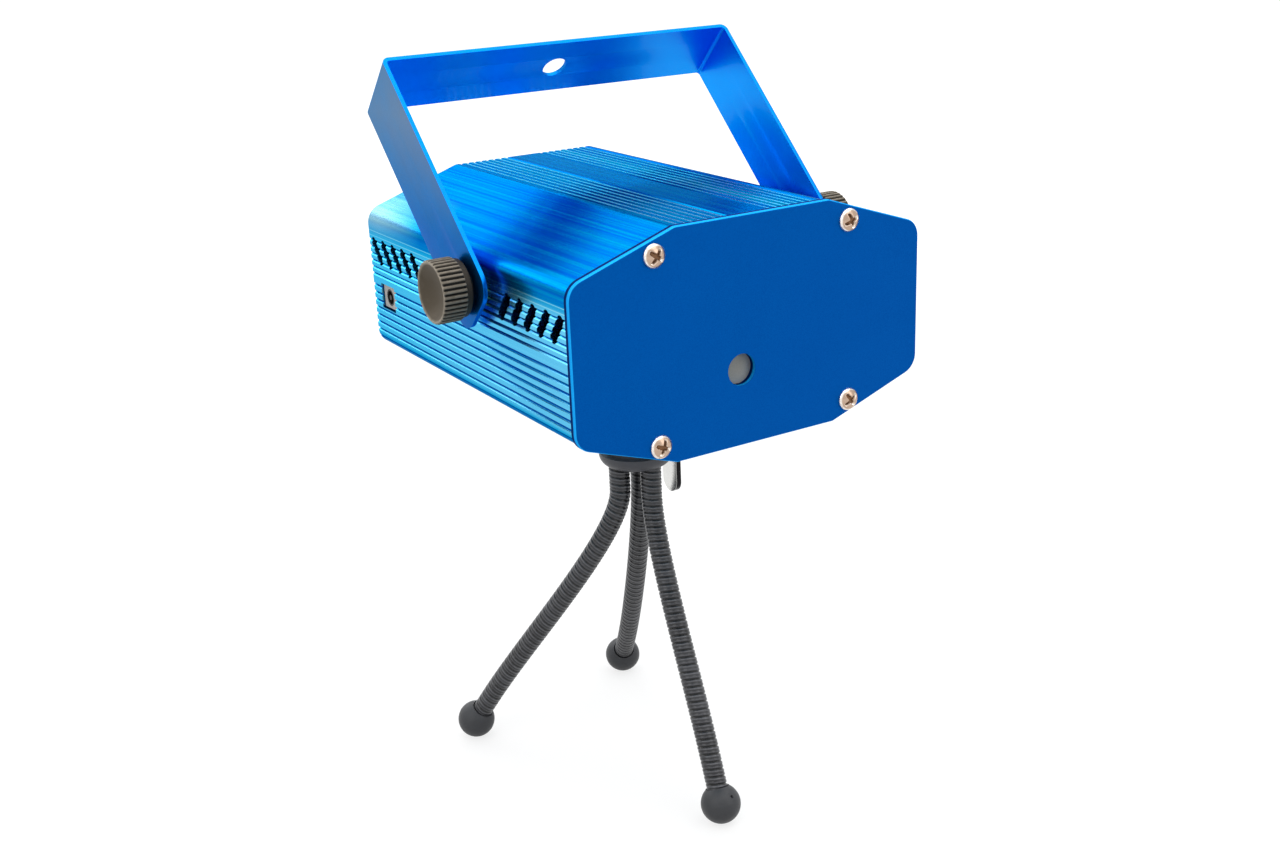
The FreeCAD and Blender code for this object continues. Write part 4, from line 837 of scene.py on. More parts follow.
class Trees:
    """Geometry trees for what repeats or follows a route, each built once.

    The two spans below map a winding's height to a painted highlight on the wires' crests and to painted
    shade in the gaps.
    """

    CREST_HIGHLIGHT = (0.88, 1.0, 0.0, 0.75)
    SUNK = (0.4, 0.8, 1.0, 0.0)

    def __init__(self) -> None:
        """Build every tree."""
        self.wound_leg = self._wound_leg()
        self.screw_set = self._screw_set()
        self.sector_ring = self._sector_ring()

    def _open(self, name: str, inputs: Mapping[str, str]) -> tuple[NodeSheet, Sockets]:
        """Start a tree with one geometry input and output, named inputs and a material.

        Args:
            name: Name of the tree.
            inputs: Socket types of the named inputs.

        Returns:
            The sheet and the sockets of its inputs.
        """
        given = {"Geometry": GEOMETRY, **inputs, "Material": MATERIAL}
        sheet = new_group(name, "GeometryNodeTree", given, {"Geometry": GEOMETRY})
        return sheet, sheet.add("NodeGroupInput").outputs

    def _close(self, sheet: NodeSheet, geometry: Socket, material: Socket) -> bpy.types.NodeTree:
        """End a tree in Realize Instances and Set Material.

        Args:
            sheet: The tree's sheet.
            geometry: What has been built.
            material: The material input.

        Returns:
            The finished tree.
        """
        real = sheet.add("GeometryNodeRealizeInstances", {"Geometry": geometry})
        merged = sheet.add("GeometryNodeMergeByDistance", {"Geometry": real.outputs[0], "Distance": WELD})
        finished = sheet.add("GeometryNodeSetMaterial", {"Geometry": merged.outputs[0], "Material": material})
        sheet.add("NodeGroupOutput", {"Geometry": finished.outputs[0]})
        return sheet.tree

    def _wound_leg(self) -> bpy.types.NodeTree:
        """Skin of two wires wound side by side round a route, with a gap after each pair and a seam in it.

        Returns:
            The tree.
        """
        numbers = ("Pitch", "Valley Radius", "Crest Radius", "Wire Share", "Filler Height", "Seam Height",
                   "Gap Share")
        inputs = {**dict.fromkeys(numbers, NUMBER), "Samples": COUNT, "Sides": COUNT}
        sheet, given = self._open("wound_leg", inputs)
        length = sheet.add("GeometryNodeCurveLength", {"Curve": given["Geometry"]}).outputs[0]
        turns = sheet.math("DIVIDE", length, given["Pitch"])
        steps = sheet.math("ROUND", sheet.times(turns, given["Samples"]))
        route = sheet.add("GeometryNodeResampleCurve", {"Curve": given["Geometry"], "Count": steps})
        kept = sheet.add("GeometryNodeCaptureAttribute", {"Geometry": route.outputs[0]})
        kept.capture_items.new("FLOAT", "along")
        kept.capture_items.new("VECTOR", "centre")
        sheet.feed(kept.inputs["along"], sheet.add("GeometryNodeSplineParameter").outputs["Length"])
        sheet.feed(kept.inputs["centre"], sheet.add("GeometryNodeInputPosition").outputs[0])
        section = sheet.add("GeometryNodeCurvePrimitiveCircle", {
            "Resolution": given["Sides"], "Radius": given["Crest Radius"]})
        ring = sheet.add("GeometryNodeCaptureAttribute", {"Geometry": section.outputs[0]})
        ring.capture_items.new("FLOAT", "round")
        sheet.feed(ring.inputs["round"], sheet.add("GeometryNodeSplineParameter").outputs["Factor"])
        tube = sheet.add("GeometryNodeCurveToMesh", {
            "Curve": kept.outputs[0], "Profile Curve": ring.outputs[0], "Fill Caps": True})
        phase = sheet.plus(sheet.math("DIVIDE", kept.outputs["along"], given["Pitch"]), ring.outputs["round"])
        height = self._winding(sheet, given, sheet.math("FRACT", phase))
        rise = sheet.minus(given["Crest Radius"], given["Valley Radius"])
        radius = sheet.plus(given["Valley Radius"], sheet.times(height, rise))
        spot = sheet.add("GeometryNodeInputPosition").outputs[0]
        outward = sheet.vector("NORMALIZE", sheet.vector("SUBTRACT", spot, kept.outputs["centre"]))
        moved = sheet.vector("ADD", kept.outputs["centre"], sheet.scaled(outward, radius))
        skin = sheet.add("GeometryNodeSetPosition", {"Geometry": tube.outputs[0], "Position": moved})
        # Painted highlight on the wires' crests and painted shade in the gaps between them.
        for name, span in (("edge", self.CREST_HIGHLIGHT), ("groove", self.SUNK)):
            inputs = {"Geometry": skin.outputs[0], "Name": name, "Value": sheet.ranged(height, *span)}
            skin = sheet.add("GeometryNodeStoreNamedAttribute", inputs, data_type="FLOAT", domain="POINT")
        smooth = sheet.add("GeometryNodeSetShadeSmooth", {"Geometry": skin.outputs[0]})
        return self._close(sheet, smooth.outputs[0], given["Material"])

    def _winding(self, sheet: NodeSheet, given: Sockets, phase: Socket) -> Socket:
        """Height of the two wires and the seam between them.

        Args:
            sheet: The tree's sheet.
            given: The tree's inputs.
            phase: Phase of the winding, 0 to 1.

        Returns:
            The height, 0 to 1.
        """
        gap, share = given["Gap Share"], given["Wire Share"]
        first = sheet.minus(share, gap)
        second = sheet.minus(1.0, sheet.plus(share, gap))
        wire = self._arch(sheet, phase, gap, first)
        filler = sheet.times(self._arch(sheet, phase, share, second), given["Filler Height"])
        pair = self._arch(sheet, phase, gap, sheet.plus(first, second))
        seam = sheet.math("MINIMUM", pair, given["Seam Height"])
        return sheet.math("MAXIMUM", sheet.math("MAXIMUM", wire, filler), seam)

    def _arch(self, sheet: NodeSheet, phase: Socket, low: Feed, width: Feed) -> Socket:
        """Half-round arch from 0 to 1 over a part of the winding's phase.

        Args:
            sheet: The tree's sheet.
            phase: Phase of the winding, 0 to 1.
            low: Phase where the arch starts.
            width: Width of the arch.

        Returns:
            Height of the arch.
        """
        share = sheet.math("DIVIDE", sheet.minus(phase, low), width)
        across = sheet.minus(sheet.times(share, 2.0), 1.0)
        left = sheet.minus(1.0, sheet.times(across, across))
        return sheet.math("SQRT", sheet.math("MAXIMUM", left, 0.0))

    def _placed(self, sheet: NodeSheet, points: Socket, instance: Socket, turns: Inputs) -> Socket:
        """One instance on each point, turned about the axes.

        Args:
            sheet: The tree's sheet.
            points: The points.
            instance: What to place.
            turns: Angles by axis.

        Returns:
            The instances.
        """
        euler = sheet.add("ShaderNodeCombineXYZ", turns).outputs[0]
        rotation = sheet.add("FunctionNodeEulerToRotation", {0: euler}).outputs[0]
        inputs = {"Points": points, "Instance": instance, "Rotation": rotation}
        return sheet.add("GeometryNodeInstanceOnPoints", inputs).outputs[0]

    def _screw_set(self) -> bpy.types.NodeTree:
        """One screw on each point, turned by the point's own turn.

        Returns:
            The tree.
        """
        sheet, given = self._open("screw_set", {"Screw": "NodeSocketObject", "Facing": NUMBER})
        screw = sheet.add("GeometryNodeObjectInfo", {"Object": given["Screw"]}).outputs["Geometry"]
        turn = sheet.add("GeometryNodeInputNamedAttribute", {"Name": "turn"}, data_type="FLOAT").outputs[0]
        placed = self._placed(sheet, given["Geometry"], screw, {"Y": turn, "Z": given["Facing"]})
        return self._close(sheet, placed, given["Material"])

    def _sector_ring(self) -> bpy.types.NodeTree:
        """Copies of one sector, turned round the local Z axis into a closed ring.

        Returns:
            The tree.
        """
        sheet, given = self._open("sector_ring", {"Count": COUNT})
        points = sheet.add("GeometryNodePoints", {"Count": given["Count"]}).outputs[0]
        step = sheet.math("DIVIDE", FULL_TURN, given["Count"])
        turn = sheet.times(sheet.add("GeometryNodeInputIndex").outputs[0], step)
        placed = self._placed(sheet, points, given["Geometry"], {"Z": turn})
        return self._close(sheet, placed, given["Material"])


@dataclass(frozen=True)
class LegBend:
    """How one leg is bent: its headings at hub and foot, its reach, and the pull of its curve's ends."""

    side: str
    hub_angle: float
    foot_angle: float
    reach: float
    lean: float
    pull: float
    push: float
    gate: Point


@dataclass
class Tripod:
    """Three wound legs in a hub, each pressed into a ball foot."""

    axis_y: float = -3.25
    hub_bottom: float = 85.0
    ring: float = 4.7
    socket: float = 2.4
    drop: float = 6.7
    straight: float = 5.0
    pitch: float = 1.9
    valley: float = 2.4
    crest: float = 2.7
    wire_share: float = 0.5
    filler_height: float = 0.95
    seam_height: float = 0.72
    gap_share: float = 0.05
    foot_radius: float = 5.1
    foot_socket: float = 3.2
    socket_radius: float = 2.8
    lip_round: float = 0.35
    lip_turns: tuple[float, ...] = (0.4, 0.8, 1.2)
    lip_rise: float = 0.1
    seam_rise: float = 0.05
    seam_width: float = 0.02
    gate_radius: float = 0.5
    bend_length: float = 28.0
    route_steps: int = 64
    turn_samples: int = 24
    leg_sides: int = 32
    ball_steps: int = 56
    ball_sides: int = 72
    gate_sides: int = 24
    bends: tuple[LegBend, ...] = (
        LegBend("left", 167.0, 133.0, 49.9, 33.0, 12.0, 24.0, (-0.30, 0.85, 0.43)),
        LegBend("front", 287.0, 266.4, 37.8, 25.0, 16.0, 24.0, (0.212, -0.703, 0.680)),
        LegBend("rear", 47.0, 66.9, 48.6, 42.0, 12.0, 24.0, (0.85, 0.25, 0.46)),
    )

    def build(self, trees: Trees, finishes: FinishShelf) -> None:
        """Make the legs and feet, and put the feet on their bodies.

        Args:
            trees: The geometry trees.
            finishes: The materials.
        """
        for bend in self.bends:
            self._leg(bend, trees, finishes)
            self._foot(bend, finishes)

    def _ends(self, bend: LegBend) -> tuple[Vector, Vector, Vector]:
        """Ends of a leg.

        Args:
            bend: The leg.

        Returns:
            Its top inside the hub, its foot's centre and its heading there.
        """
        axis = Vector((0, self.axis_y, 0))
        hub, foot = math.radians(bend.hub_angle), math.radians(bend.foot_angle)
        top = axis + Vector((math.cos(hub), math.sin(hub), 0)) * self.ring
        top.z = self.hub_bottom + self.socket
        centre = axis + Vector((math.cos(foot), math.sin(foot), 0)) * bend.reach
        centre.z = self.foot_radius
        level = Vector((centre.x - top.x, centre.y - top.y, 0)).normalized()
        lean = math.radians(bend.lean)
        return top, centre, level * math.sin(lean) - Vector((0, 0, math.cos(lean)))

    def _leg(self, bend: LegBend, trees: Trees, finishes: FinishShelf) -> None:
        """Wind a leg round its route, which bends between the hub and its foot.

        Args:
            bend: The leg.
            trees: The geometry trees.
            finishes: The materials.
        """
        top, centre, heading = self._ends(bend)
        down = Vector((0, 0, -1))
        first = top + down * (self.socket + self.drop)
        last = centre - heading * (self.foot_radius + self.straight)
        foot_end = centre - heading * (self.foot_radius - self.foot_socket)
        knots = ((top, top, top.lerp(first, 1 / 3)),
                 (first, top.lerp(first, 2 / 3), first + down * bend.pull),
                 (last, last - heading * bend.push, last.lerp(foot_end, 1 / 3)),
                 (foot_end, last.lerp(foot_end, 2 / 3), foot_end))
        curve = bpy.data.curves.new("route", "CURVE")
        curve.dimensions = "3D"
        curve.resolution_u = self.route_steps
        spline = curve.splines.new("BEZIER")
        spline.bezier_points.add(len(knots) - 1)
        for knot, (spot, before, after) in zip(spline.bezier_points, knots):
            knot.handle_left_type = knot.handle_right_type = "FREE"
            knot.co, knot.handle_left, knot.handle_right = spot * MM, before * MM, after * MM
        name = f"wound_leg_{bend.side}"
        leg = run_tree(new_object(name, curve), trees.wound_leg, {
            "Pitch": self.pitch * MM, "Valley Radius": self.valley * MM, "Crest Radius": self.crest * MM,
            "Wire Share": self.wire_share, "Filler Height": self.filler_height,
            "Seam Height": self.seam_height, "Gap Share": self.gap_share, "Samples": self.turn_samples,
            "Sides": self.leg_sides, "Material": finishes[Slot.LEG]})
        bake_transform(leg)
        Seat(f"leg_{bend.side}", Slot.LEG, (f"gooseneck_{bend.side}",)).label(leg)

    def _foot(self, bend: LegBend, finishes: FinishShelf) -> None:
        """Turn a ball foot with a lipped socket, a mould seam and a gate mark.

        Args:
            bend: The leg that the foot is on.
            finishes: The materials.
        """
        _, centre, heading = self._ends(bend)
        radius, floor = self.foot_radius, self.foot_radius - self.foot_socket
        rim = math.asin(self.socket_radius / radius)
        lip = self.lip_round / radius
        profile = [(0.0, floor), (self.socket_radius, floor),
                   (self.socket_radius, radius * math.cos(rim) - self.lip_round)]
        profile += [(self.socket_radius + self.lip_round * (1 - math.cos(a)),
                     radius * math.cos(rim + lip) - self.lip_round * (1 - math.sin(a)) + self.lip_rise)
                    for a in self.lip_turns]
        steps = self.ball_steps
        for step in range(steps + 1):
            angle = rim + lip + (math.pi - rim - lip) * step / steps
            seam = self.seam_rise * math.exp(-((angle - math.pi / 2) / self.seam_width) ** 2)
            reach = radius + seam - self.seam_rise
            profile.append((reach * math.sin(angle) if step < steps else 0.0, reach * math.cos(angle)))
        turn = heading.to_track_quat("-Z", "Y").to_matrix().to_4x4()
        matrix = Matrix.Translation(centre) @ turn
        mesh = mesh_from("foot", lathe(profile, self.ball_sides), matrix)
        foot = new_object(f"rubber_foot_{bend.side}", mesh)
        gate = Vector(bend.gate).normalized()
        cone = ((0.0, -1.1), (self.gate_radius * 0.7, -1.0), (self.gate_radius, 0.6), (0.0, 0.7))
        drill = lathe(cone, self.gate_sides)
        spot = Matrix.Translation(centre + gate * radius) @ gate.to_track_quat("Z", "Y").to_matrix().to_4x4()
        tool = new_object("gate_drill", mesh_from("gate_drill", drill, spot))
        foot.data.materials.append(finishes[Slot.RUBBER])
        cut = foot.modifiers.new("gate", "BOOLEAN")
        cut.object, cut.operation, cut.solver = tool, "DIFFERENCE", "EXACT"
        foot = settle(foot)
        bpy.data.objects.remove(tool)
        Seat(f"leg_{bend.side}", Slot.RUBBER, (f"ball_foot_{bend.side}",)).take(foot)


@dataclass
class PanScrew:
    """Pan-head screw with a tapered cross recess, its head towards -Y."""

    head: float
    rise: float
    dome: float
    shank: float
    length: float
    arm: float
    slot: float
    depth: float
    rings: int = 40
    segments: int = 96
    rim: Span = (0.82, 0.9)
    roll: Span = (0.93, 0.12)
    pressed: float = 0.95
    dark: Span = (0.5, 0.9)
    outline: tuple[Span, Span] = ((0.02, 0.15), (0.6, 0.9))
    taper: float = 0.25
    wall: Span = (0.6, 1.35)
    tip: Span = (0.62, 1.05)

    def fill(self, work: Work) -> None:
        """Add the head as a polar grid pressed in by the cross, then its skirt and shank.

        Args:
            work: The bmesh to fill.
        """
        radii = [self.head * i / self.rings for i in range(self.rings + 1)]
        profile = [(radius, self._crown(radius)) for radius in radii]
        skirt = [(self.head, 0.0), (self.shank, 0.0), (self.shank, -self.length)]
        point = (0.0, -self.length - self.shank)
        lathe([*profile, *skirt, point], self.segments)(work)
        bright, sunk = work.verts.layers.float.new("edge"), work.verts.layers.float.new("groove")
        for vert in work.verts:
            reach = vert.co.xy.length / self.head
            vert[bright] = smooth_step(*self.rim, reach)
            if vert.co.z > 0.01 and reach < self.pressed:
                share = self._recess(vert.co.x, vert.co.y)
                vert.co.z -= self.depth * share
                vert[sunk] = smooth_step(*self.dark, share)
                rising, falling = (smooth_step(*span, share) for span in self.outline)
                vert[bright] = max(vert[bright], rising * (1 - falling))
        work.transform(Matrix.Rotation(math.pi / 2, 4, "X"))

    def _crown(self, radius: float) -> float:
        """Height of the domed head at a radius, with a small rolled rim."""
        start, drop = self.roll
        rolled = drop * smooth_step(self.head * start, self.head, radius)
        return self.rise - self.dome + math.sqrt(self.dome ** 2 - radius ** 2) - rolled

    def _recess(self, across: float, up: float) -> float:
        """Share of the recess's depth at a point of the head."""
        def bar(run: float, side: float) -> float:
            """One bar of the cross, tapered at its ends and walls."""
            wall = self.slot * (1.0 - self.taper * abs(run) / self.arm)
            inside = 1 - smooth_step(*self.wall, abs(side) / wall)
            return inside * (1 - smooth_step(*self.tip, abs(run) / self.arm))
        return max(bar(across, up), bar(up, across))


@dataclass
class Screws:
    """The screws of both end plates and of the fan."""

    plate: PanScrew = field(default_factory=lambda: PanScrew(2.65, 1.7, 3.4, 1.4, 9.0, 1.95, 0.46, 0.95))
    fan: PanScrew = field(default_factory=lambda: PanScrew(2.1, 1.2, 2.8, 1.25, 7.0, 1.25, 0.34, 0.7))
    front_y: float = -56.05
    rear_y: float = 49.55
    plate_spots: tuple[Span, ...] = ((-25.5, 152.2), (25.5, 152.2), (-25.5, 110.6), (25.5, 110.6))
    fan_spots: tuple[Span, ...] = ((-0.4, 148.5), (19.6, 148.5), (-0.4, 128.5), (19.6, 128.5))
    turns: tuple[float, ...] = (0.62, 1.18, 0.36, 0.95)

    def build(self, trees: Trees, finishes: FinishShelf) -> None:
        """Place the three sets.

        Args:
            trees: The geometry trees.
            finishes: The materials.
        """
        sets = (("front_plate_screws", self.plate, self.plate_spots, self.front_y, 0.0),
                ("rear_plate_screws", self.plate, self.plate_spots, self.rear_y, math.pi),
                ("fan_screws", self.fan, self.fan_spots, self.rear_y, math.pi))
        for node, screw, spots, depth, facing in sets:
            model = new_object("screw_model", mesh_from("screw_model", screw.fill))
            points = bpy.data.meshes.new("screw_points")
            points.from_pydata([(x * MM, depth * MM, z * MM) for x, z in spots], [], [])
            points.attributes.new("turn", "FLOAT", "POINT").data.foreach_set("value", self.turns)
            name = node.replace("_screws", "_pan_screws")
            made = run_tree(new_object(name, points), trees.screw_set, {
                "Screw": model, "Facing": facing, "Material": finishes[Slot.PLATED]})
            bpy.data.objects.remove(model)
            Seat("housing", Slot.PLATED, (node,)).take(made)


@dataclass(frozen=True)
class KnobRow:
    """One ring of a knob's profile: its radius and height, how far it is fluted, its painted highlight and
    wear, and its painted shade.
    """

    radius: float
    height: float
    fluting: float = 0.0
    highlight_and_wear: float = 0.0
    dark: float = 0.0


@dataclass
class FlutedKnob:
    """Knob with a collar, a plain skirt, flutes up to a thin rim and a dished face.

    Its foot is at height 0, and its axis is Z.
    """

    radius: float
    length: float
    bore: float
    seat: float
    collar: float
    collar_rise: float
    skirt: float
    skirt_rise: float
    flutes: int
    flute_depth: float
    dish: float
    lip: float = 0.3
    lip_width: float = 1.1
    columns: int = 10
    flank: Span = (0.16, 0.42)
    rubbing: float = 0.3
    # Painted shade on the collar and skirt.
    skirt_shade: float = 0.7

    def fill(self, work: Work) -> None:
        """Add one flute's sector.

        Args:
            work: The bmesh to fill.
        """
        rows = self._rows()
        sector = FULL_TURN / self.flutes
        worn_and_highlight, sunk = work.verts.layers.float.new("edge"), work.verts.layers.float.new("groove")
        grid = []
        for row in rows:
            ring = []
            for column in range(self.columns + 1):
                share = column / self.columns - 0.5
                groove = smooth_step(*self.flank, abs(share))
                reach = row.radius - groove * self.flute_depth * row.fluting
                turn = share * sector
                vert = work.verts.new((reach * math.cos(turn), reach * math.sin(turn), row.height))
                # Edge marks: wear on the flutes' crests and painted highlight with wear on the rim; groove
                # marks: painted shade in the grooves, on the collar and on the skirt.
                vert[worn_and_highlight] = max(row.highlight_and_wear, self.rubbing * (1 - groove) * row.fluting)
                vert[sunk] = max(row.dark, groove * row.fluting)
                ring.append(vert)
            grid.append(ring)
        for (lower, upper), (low_row, high_row) in zip(zip(grid, grid[1:]), zip(rows, rows[1:])):
            for column in range(self.columns):
                corners = [lower[column], lower[column + 1], upper[column + 1], upper[column]]
                if low_row.radius == 0:
                    corners = [lower[column], upper[column + 1], upper[column]]
                elif high_row.radius == 0:
                    corners = [lower[column], lower[column + 1], upper[column]]
                work.faces.new(corners)

    def _rows(self) -> list[KnobRow]:
        """Rings down the knob's profile, from its bore to the middle of its face."""
        foot, top, side = self.collar_rise, self.length, self.radius
        rows = [KnobRow(0.0, self.seat), KnobRow(self.bore, self.seat), KnobRow(self.bore, 0.0)]
        rows += [KnobRow(radius, height, dark=self.skirt_shade) for radius, height in (
            (self.collar, 0.0), (self.collar, foot), (self.skirt - 0.3, foot), (self.skirt, foot + 0.3),
            (self.skirt, self.skirt_rise))]
        rows += [KnobRow(side - 0.2, self.skirt_rise + 0.02, 1.0), KnobRow(side, self.skirt_rise + 0.25, 1.0)]
        run = top - 0.55 - self.skirt_rise
        rows += [KnobRow(side, self.skirt_rise + run * share, 1.0) for share in (0.35, 0.7, 1.0)]
        # Painted highlight and wear on the rim.
        rows += [KnobRow(side - 0.06, top - 0.3, 0.7, 0.3), KnobRow(side - 0.18, top - 0.1, 0.25, 0.8),
                 KnobRow(side - 0.4, top, 0.0, 1.0), KnobRow(side - 0.65, top - 0.03, 0.0, 0.9),
                 KnobRow(side - 0.9, top - self.lip * 0.6, 0.0, 0.3)]
        face = side - self.lip_width
        rows += [KnobRow(face * share, self.face_height - self.dish * (1 - share ** 2))
                 for share in (1.0, 0.88, 0.74, 0.58, 0.4, 0.2, 0.0)]
        return rows

    @property
    def face_height(self) -> float:
        """Height of the face at its edge, inside the rim."""
        return self.length - self.lip


@dataclass
class Knobs:
    """The bracket's two clamp knobs and the dial on the rear plate."""

    clamp: FlutedKnob = field(default_factory=lambda: FlutedKnob(
        7.2, 8.2, 2.05, 4.5, 4.6, 0.9, 6.6, 2.5, 38, 0.45, 2.0))
    dial: FlutedKnob = field(default_factory=lambda: FlutedKnob(
        6.2, 7.6, 3.05, 5.0, 4.2, 0.8, 5.7, 1.8, 32, 0.45, 0.0))
    pivot: Point = (0.0, -13.05, 141.2)
    bracket_half: float = 48.4
    dial_foot: Point = (-16.0, 50.15, 143.0)
    pointer: tuple[float, float, float] = (0.9, 3.6, 0.12)
    pointer_out: float = 3.0
    pointer_round: float = 0.6

    def build(self, trees: Trees, finishes: FinishShelf) -> None:
        """Make the three knobs and the dial's pointer line.

        Args:
            trees: The geometry trees.
            finishes: The materials.
        """
        for side, sign in (("left", -1), ("right", 1)):
            foot = Vector(self.pivot) + Vector((sign * self.bracket_half, 0, 0))
            axis = Vector((sign, 0, 0))
            knob = self._turn(f"fluted_clamp_knob_{side}", self.clamp, foot, axis, trees, finishes)
            Seat(f"knob_{side}", Slot.BLACK, (f"clamp_knob_{side}",)).take(knob)
        foot, axis = Vector(self.dial_foot), Vector((0, 1, 0))
        dial = self._turn("fluted_speed_knob", self.dial, foot, axis, trees, finishes)
        Seat("speed_knob", Slot.BLACK, ("speed_knob",)).take(dial)
        self._pointer(finishes)

    def _turn(self, name: str, knob: FlutedKnob, foot: Vector, axis: Vector, trees: Trees,
              finishes: FinishShelf) -> Item:
        """Close a knob's sectors into a ring and put it on its axis.

        Args:
            name: Name of the piece.
            knob: The knob's sizes.
            foot: Centre of its foot, in millimetres.
            axis: Direction from its foot to its face.
            trees: The geometry trees.
            finishes: The materials.

        Returns:
            The finished piece.
        """
        made = run_tree(new_object(name, mesh_from(name, knob.fill)), trees.sector_ring, {
            "Count": knob.flutes, "Material": finishes.knob})
        turn = axis.to_track_quat("Z", "Y").to_matrix().to_4x4()
        made.data.transform(Matrix.Translation(foot * MM) @ turn)
        made.data.shade_smooth()
        made.data.set_sharp_from_angle(angle=SHARP_ANGLE)
        return made

    def _pointer(self, finishes: FinishShelf) -> None:
        """Painted line on the dial's face, from near its middle to its rim.

        Args:
            finishes: The materials.
        """
        width, length, rise = self.pointer
        x, y, z = self.dial_foot
        face = y + self.dial.face_height
        rounding = rise * self.pointer_round

        def fill(work: Work) -> None:
            """Add a thin rounded bar."""
            bmesh.ops.create_cube(work, size=1.0)
            work.transform(Matrix.Diagonal((width, rise * 2, length, 1)))
            bmesh.ops.bevel(work, geom=work.edges[:], offset=rounding, segments=2, affect="EDGES")
        spot = Matrix.Translation((x, face - rounding, z + self.pointer_out))
        line = new_object("dial_pointer", mesh_from("dial_pointer", fill, spot))
        line.data.materials.append(finishes.pointer)
        Seat("speed_knob", Slot.GREY).take(line)


@dataclass
class BentBracket:
    """Flat strip bent to a U.

    Its blank is drawn with rounded ends and holes, bent, thickened and broken at its edges.
    """

    width: float = 17.7
    thick: float = 1.0
    reach: float = 58.5
    tail: float = 7.6
    tail_round: float = 5.0
    half: float = 48.4
    bend_inside: float = 0.8
    hang_hole: float = 3.15
    pivot_hole: float = 2.1
    lean: float = 45.6
    pivot: Point = (0.0, -13.05, 141.2)
    edge_break: float = 0.14
    bend_cuts: int = 8
    corner_steps: int = 12
    hole_steps: int = 48
    edge_angle: float = 50.0

    def build(self, finishes: FinishShelf) -> None:
        """Make the bracket and put it on its body.

        Args:
            finishes: The materials.
        """
        blank = settle(new_object("bent_bracket", self._blank()))
        work = bmesh.new()
        work.from_mesh(blank.data)
        self._bend(work)
        work.to_mesh(blank.data)
        work.free()
        blank.data.materials.append(finishes[Slot.BRACKET])
        blank.data.materials.append(finishes.cut_edge)
        wall = blank.modifiers.new("wall", "SOLIDIFY")
        wall.thickness, wall.offset, wall.use_even_offset = self.thick * MM, 0.0, True
        # The cut edges and the bevels take the painted edge tone.
        wall.material_offset_rim = 1
        edges = blank.modifiers.new("edges", "BEVEL")
        edges.width, edges.segments, edges.material = self.edge_break * MM, 3, 1
        edges.limit_method, edges.angle_limit = "ANGLE", math.radians(self.edge_angle)
        piece = settle(blank)
        lean = Matrix.Rotation(math.radians(-self.lean), 4, "X")
        piece.data.transform(Matrix.Translation(Vector(self.pivot) * MM) @ lean)
        piece.data.shade_smooth()
        piece.data.set_sharp_from_angle(angle=SHARP_ANGLE)
        Seat("bracket", Slot.BRACKET, ("bracket",)).take(piece)

    @property
    def _middle(self) -> float:
        """Bend radius at the middle of the strip's thickness."""
        return self.bend_inside + self.thick / 2

    @property
    def _bar(self) -> float:
        """Half length of the straight bar."""
        return self.half - self.thick / 2 - self._middle

    @property
    def _arc(self) -> float:
        """Length of one bend."""
        return self._middle * math.pi / 2

    @property
    def _arm(self) -> float:
        """Length of an arm from its bend to the pivot."""
        return self.reach - self.thick / 2 - self._middle

    def _blank(self) -> bpy.types.Curve:
        """Flat outline of the strip, with its holes.

        Returns:
            A filled curve.
        """
        end = self._bar + self._arc + self._arm + self.tail
        side = self.width / 2
        outline = []
        for sign_x, sign_y, start in ((1, 1, 0), (-1, 1, 1), (-1, -1, 2), (1, -1, 3)):
            for step in range(self.corner_steps + 1):
                turn = (start + step / self.corner_steps) * math.pi / 2
                outline.append((sign_x * (end - self.tail_round) + self.tail_round * math.cos(turn),
                                sign_y * (side - self.tail_round) + self.tail_round * math.sin(turn)))
        pivot = self._bar + self._arc + self._arm
        loops = [outline]
        for centre, radius in ((0.0, self.hang_hole), (pivot, self.pivot_hole), (-pivot, self.pivot_hole)):
            loops.append([(centre + u, v) for u, v in circle(radius, self.hole_steps)])
        curve = bpy.data.curves.new("blank", "CURVE")
        curve.dimensions, curve.fill_mode = "2D", "BOTH"
        for loop in loops:
            spline = curve.splines.new("POLY")
            spline.points.add(len(loop) - 1)
            spline.use_cyclic_u = True
            for point, (u, v) in zip(spline.points, loop):
                point.co = (u * MM, v * MM, 0, 1)
        return curve

    def _bend(self, work: Work) -> None:
        """Cut the blank across its bends and wrap it round them.

        Args:
            work: The flat blank, in metres.
        """
        bmesh.ops.remove_doubles(work, verts=work.verts, dist=WELD)
        for sign in (1, -1):
            for cut in range(self.bend_cuts + 1):
                line = sign * (self._bar + self._arc * cut / self.bend_cuts) * MM
                everything = work.verts[:] + work.edges[:] + work.faces[:]
                bmesh.ops.bisect_plane(work, geom=everything, plane_co=(line, 0, 0), plane_no=(1, 0, 0))
        for vert in work.verts:
            along, across = abs(vert.co.x) / MM, vert.co.y / MM
            sign = 1 if vert.co.x >= 0 else -1
            turn = min(max((along - self._bar) / self._middle, 0.0), math.pi / 2)
            out = min(along, self._bar) + self._middle * math.sin(turn)
            drop = self._middle * (1 - math.cos(turn)) + max(0.0, along - self._bar - self._arc)
            vert.co = Vector((sign * out, across, self.reach - self.thick / 2 - drop)) * MM
        bmesh.ops.recalc_face_normals(work, faces=work.faces)


@dataclass(frozen=True)
class SoftBox:
    """One studio lamp: where it stands, how large it is and how bright."""

    name: str
    spot: Point
    size: Span
    watts: float


